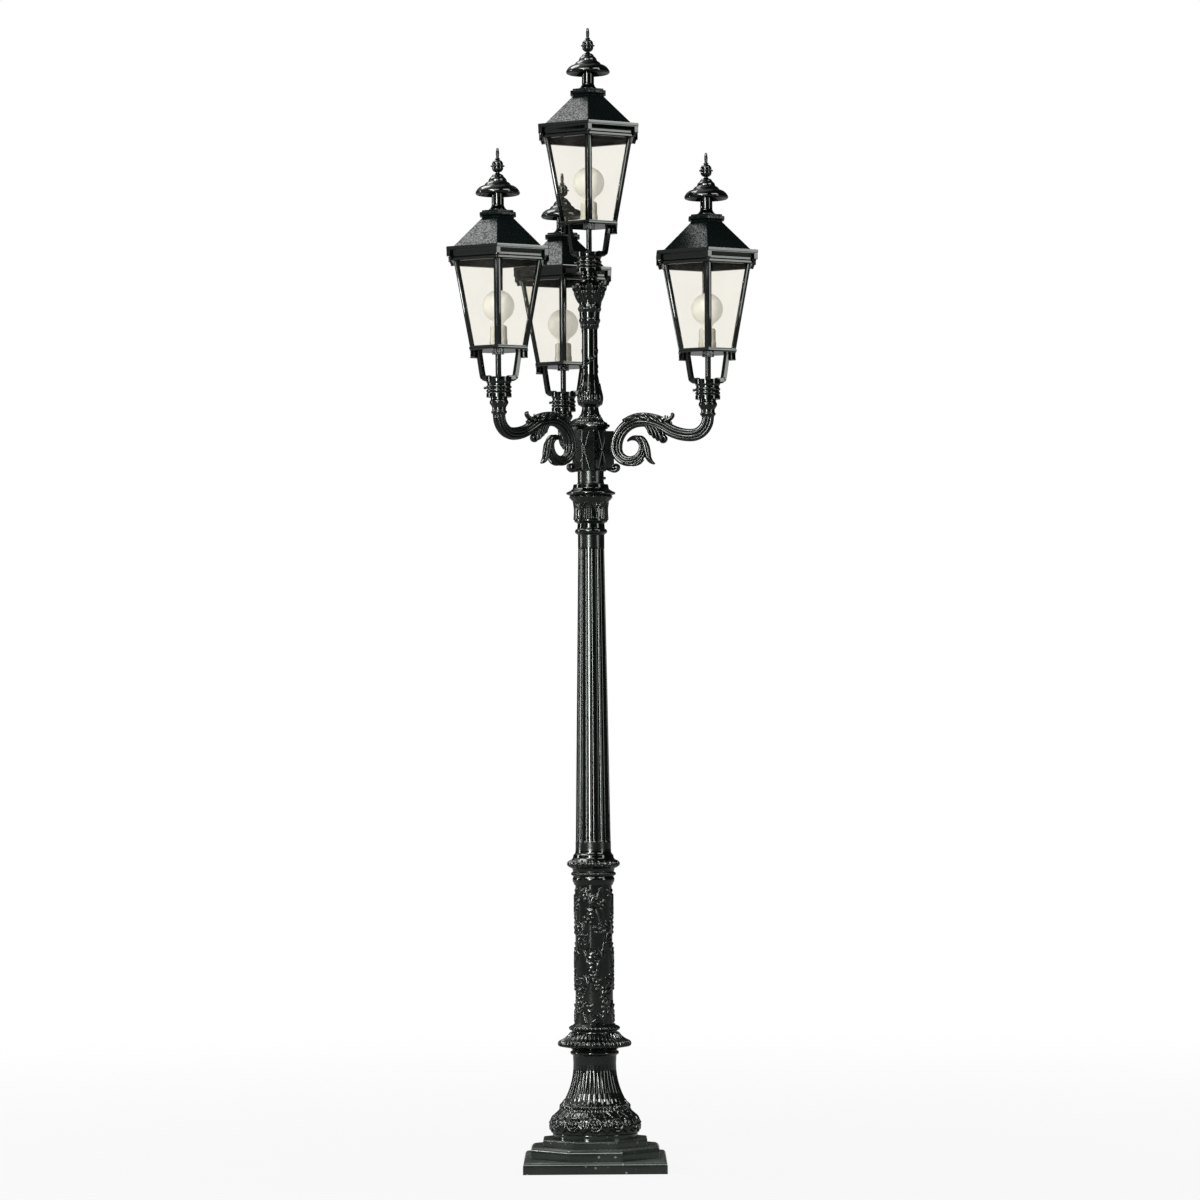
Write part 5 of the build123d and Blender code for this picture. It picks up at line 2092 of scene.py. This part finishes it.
@dataclass
class Fasteners:
    """The set screws of the hub's sleeve and of every lantern collar."""

    head_radius: float = 4.0
    head_height: float = 7.0
    shank_radius: float = 3.0
    sleeve_angles: Pair = (-77.0, 13.0)
    sleeve_height: float = 2082.0
    sleeve_radius: float = 39.7
    core: float = 30.0
    collar_first: float = -60.0
    collar_height: float = 28.0
    collar_radius: float = 38.5
    tenon: float = 23.0

    def screw(self, inner: float, outer: float) -> Shell:
        """Turn one screw along the first axis, with a domed head and a drive recess.

        Args:
            inner: Reach of its point.
            outer: Reach of its head's underside.

        Returns:
            The screw.
        """
        shank, head = self.shank_radius, self.head_radius
        end = outer + self.head_height
        outline = [
            (0.0, inner), (shank - 0.6, inner), (shank, inner + 0.6), (shank, outer), (head, outer),
            (head, end - 1.6), (head - 0.5, end - 0.6), (head - 1.3, end), (1.8, end), (1.7, end - 2.4),
            (0.0, end - 2.4),
        ]
        return Shell().add(relaid(sweep(outline, RoundRing(segments=24)), (2, 0, 1)))

    def build(self, lanterns: Sequence[Lantern]) -> None:
        """Build and dress all the screws as one piece.

        Args:
            lanterns: The lanterns whose collars they hold.
        """
        shell = Shell()
        for angle in self.sleeve_angles:
            shell.join(self.screw(self.core, self.sleeve_radius).placed(angle, lift=self.sleeve_height))
        ring = RINGS.around(self.screw(self.tenon, self.collar_radius), 3, self.collar_first)
        for lantern in lanterns:
            shell.join(ring.placed(centre=lantern.centre, lift=lantern.seat + self.collar_height))
        shell.piece("set_screw_group", "set_screws")


@dataclass
class HiddenParts:
    """CAD nodes that keep their own shape and get a better finish."""

    finishes: tuple[tuple[Finish, tuple[str, ...]], ...] = (
        (ZINC, ("anchor_plate", "core_tube", "arm_bolts", "hinge_pins")),
        (TERMINAL, ("terminal_block",)),
        (PANE, ("top_glass_panes", "right_glass_panes", "left_glass_panes", "rear_glass_panes")),
    )

    def dress(self) -> None:
        """Give each node its finish."""
        for finish, names in self.finishes:
            for name in names:
                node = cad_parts[name]
                node.data.materials.clear()
                node.data.materials.append(finish.material())
                log.info("%s: CAD shape with %s", name, finish.name)


# Studio


@dataclass(frozen=True)
class SoftBox:
    """A rectangular studio light aimed at a spot."""

    name: str
    place: Triple
    aim: Triple
    size: Pair
    power: float
    gloss_only: bool = False

    def hang(self) -> None:
        """Add the light to the scene."""
        light = bpy.data.lights.new(self.name, "AREA")
        light.shape = "RECTANGLE"
        light.size, light.size_y = self.size
        light.energy = self.power
        holder = stand(self.name, light)
        holder.location = self.place
        holder.visible_camera = False
        holder.visible_diffuse = not self.gloss_only
        way = np.subtract(self.aim, self.place)
        holder.rotation_euler = Euler((atan2(hypot(way[0], way[1]), -way[2]), 0.0, atan2(-way[0], way[1])))


@dataclass
class Studio:
    """Pale floor, white surround, soft boxes and the camera, in metres and degrees."""

    floor_half: float = 60.0
    floor_level: float = -0.0005
    floor_colour: Colour = (0.5, 0.5, 0.5)
    floor_share: float = 0.9
    floor_gloss: float = 0.11
    floor_fade: Pair = (0.5, 7.0)
    ambient: float = 0.42
    dome_foot: float = 0.035
    dome_bright: Triple = (-0.47, 0.27, 0.84)
    dome_rise: Pair = (0.68, 0.98)
    boxes: tuple[SoftBox, ...] = (
        SoftBox("broad_box", (-4.2, -10.0, 3.1), (0, 0, 1.9), (1.1, 4.5), 600.0),
        SoftBox("key_strip", (-4.1, -10.1, 2.43), (0, 0, 1.9), (0.8, 3.15), 265.0, True),
        SoftBox("broad_panel", (-3.2, -10.4, 4.25), (0, 0, 2.5), (3.2, 3.4), 240.0, True),
        SoftBox("right_wall", (8.66, -5.0, 3.5), (0, 0, 2.0), (2.0, 5.0), 250.0, True),
        SoftBox("glint_box", (-5.7, -8.1, 10.0), (0, 0, 0.8), (2.2, 2.2), 900.0, True),
        SoftBox("gap_panel", (-5.4, -12.1, 8.3), (0, 0, 0.3), (3.0, 2.6), 200.0, True),
        SoftBox("left_box", (-9.6, 1.7, 3.2), (0, 0, 1.9), (0.5, 4.8), 170.0),
        SoftBox("left_strip", (-9.5, 1.6, 3.2), (0, 0, 1.9), (0.7, 4.8), 140.0, True),
        SoftBox("left_wall", (-8.7, -5.0, 3.6), (0, 0, 2.4), (3.0, 5.0), 26.0, True),
        SoftBox("sky_box", (-3.0, 1.9, 7.4), (-0.1, 0, 2.6), (2.6, 2.6), 130.0),
        SoftBox("sky_gloss", (-2.9, 1.8, 7.3), (-0.1, 0, 1.2), (2.6, 2.6), 70.0, True),
        SoftBox("sky_panel", (-6.9, -14.9, 17.9), (0, 0, 0.3), (19.0, 7.6), 4300.0, True),
        SoftBox("right_panel", (12.9, -9.0, 18.4), (0, 0, 0.3), (12.0, 5.0), 2200.0, True),
    )
    camera_place: Triple = (0.0227, -13.6, 1.30)
    camera_roll: float = 0.40
    camera_tilt: float = 1.7365
    camera_far: float = 200.0
    lens: float = 134.88
    sensor: float = 36.0

    def seen_rays(self, graph: Graph, gloss: Value) -> Socket:
        """Find the rays that should see the white surround.

        Args:
            graph: The graph to add to.
            gloss: How much of it a reflection sees.

        Returns:
            Their share.
        """
        path = graph.node("ShaderNodeLightPath")
        kinds = ("Is Camera Ray", "Is Transmission Ray", "Is Glossy Ray")
        seen, through, mirrored = (Socket(graph, path.outputs[kind]) for kind in kinds)
        return graph.math("MINIMUM", seen + through + mirrored * gloss, 1.0)

    def build_floor(self) -> None:
        """Lay the pale floor, which keeps the object's shadow."""
        half, level = self.floor_half, self.floor_level
        mesh = bpy.data.meshes.new("studio_floor")
        corners = [(-half, -half, level), (half, -half, level), (half, half, level), (-half, half, level)]
        mesh.from_pydata(corners, [], [(0, 1, 2, 3)])
        floor = stand("studio_floor", mesh)
        material = bpy.data.materials.new("studio_floor")
        material.use_nodes = True
        graph = Graph(material.node_tree)
        matt = graph.value("ShaderNodeBsdfDiffuse", Color=(*self.floor_colour, 1.0))
        white = graph.value("ShaderNodeEmission", Color=WHITE, Strength=1.0)
        away = graph.value("ShaderNodeVectorMath", "Value", {"operation": "LENGTH"}, n0=place_of(graph))
        share = self.floor_share + ramp(graph, away, *self.floor_fade) * (1.0 - self.floor_share)
        bright = self.seen_rays(graph, self.floor_gloss) * share
        mixed = graph.value("ShaderNodeMixShader", n0=bright, n1=matt, n2=white)
        graph.node("ShaderNodeOutputMaterial", Surface=mixed)
        mesh.materials.append(material)

    def build_surround(self) -> None:
        """Light the scene softly from all round and show white behind it."""
        world = bpy.data.worlds.new("studio_surround")
        bpy.context.scene.world = world
        world.use_nodes = True
        graph = Graph(world.node_tree)
        way = graph.value("ShaderNodeTexCoord", "Generated")
        dot_product = {"operation": "DOT_PRODUCT"}
        nearness = graph.value("ShaderNodeVectorMath", "Value", dot_product, n0=way, n1=self.dome_bright)
        overhead = ramp(graph, nearness, *self.dome_rise)
        soft = graph.value("ShaderNodeLightPath", "Is Diffuse Ray") * self.ambient
        level = soft + self.seen_rays(graph, self.dome_foot + overhead * (1.0 - self.dome_foot))
        light = graph.value("ShaderNodeBackground", Color=WHITE, Strength=level)
        graph.node("ShaderNodeOutputWorld", Surface=light)

    def build_camera(self) -> None:
        """Stand the camera where the photograph was taken from."""
        camera = bpy.data.cameras.new("camera")
        camera.lens = self.lens
        camera.sensor_width = self.sensor
        camera.clip_end = self.camera_far
        holder = stand("camera", camera)
        holder.location = self.camera_place
        holder.rotation_mode = "XYZ"
        holder.rotation_euler = (pi / 2 + radians(self.camera_tilt), radians(self.camera_roll), 0.0)
        bpy.context.scene.camera = holder

    def build(self) -> None:
        """Build the studio."""
        bpy.context.scene.view_settings.view_transform = "Standard"
        self.build_floor()
        self.build_surround()
        self.build_camera()
        for box in self.boxes:
            box.hang()


def lantern_row(arms: ScrollArms) -> list[Lantern]:
    """Set out the four lanterns: one on the riser and one on each arm.

    Args:
        arms: The arms that carry three of them.

    Returns:
        The lanterns.
    """
    top_seat = 2707.0
    hinge_angles = {"right": 60.0, "rear": 120.0, "left": 120.0}
    lanterns = [Lantern("top", (0.0, 0.0), top_seat, 60.0, Body.TOP_LID)]
    for name, angle in arms.angles:
        spot = (arms.reach * cos(radians(angle)), arms.reach * sin(radians(angle)))
        lanterns.append(Lantern(name, spot, arms.lantern_seat, hinge_angles[name], Body(f"{name}_lid")))
    return lanterns


def write_sizes() -> None:
    """Bring the view layer up to date."""
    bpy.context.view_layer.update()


def main() -> None:
    """Build and dress the lamp post in order, then its studio."""
    logging.basicConfig(level=logging.INFO, format="%(name)s: %(message)s")
    Plinth().build()
    PostCastings().build()
    Hub().build()
    Riser().build()
    arms = ScrollArms()
    arms.build()
    lanterns = lantern_row(arms)
    for lantern in lanterns:
        lantern.build()
    Fasteners().build(lanterns)
    HiddenParts().dress()
    Studio().build()
    write_sizes()


if __name__ == "__main__":
    main()
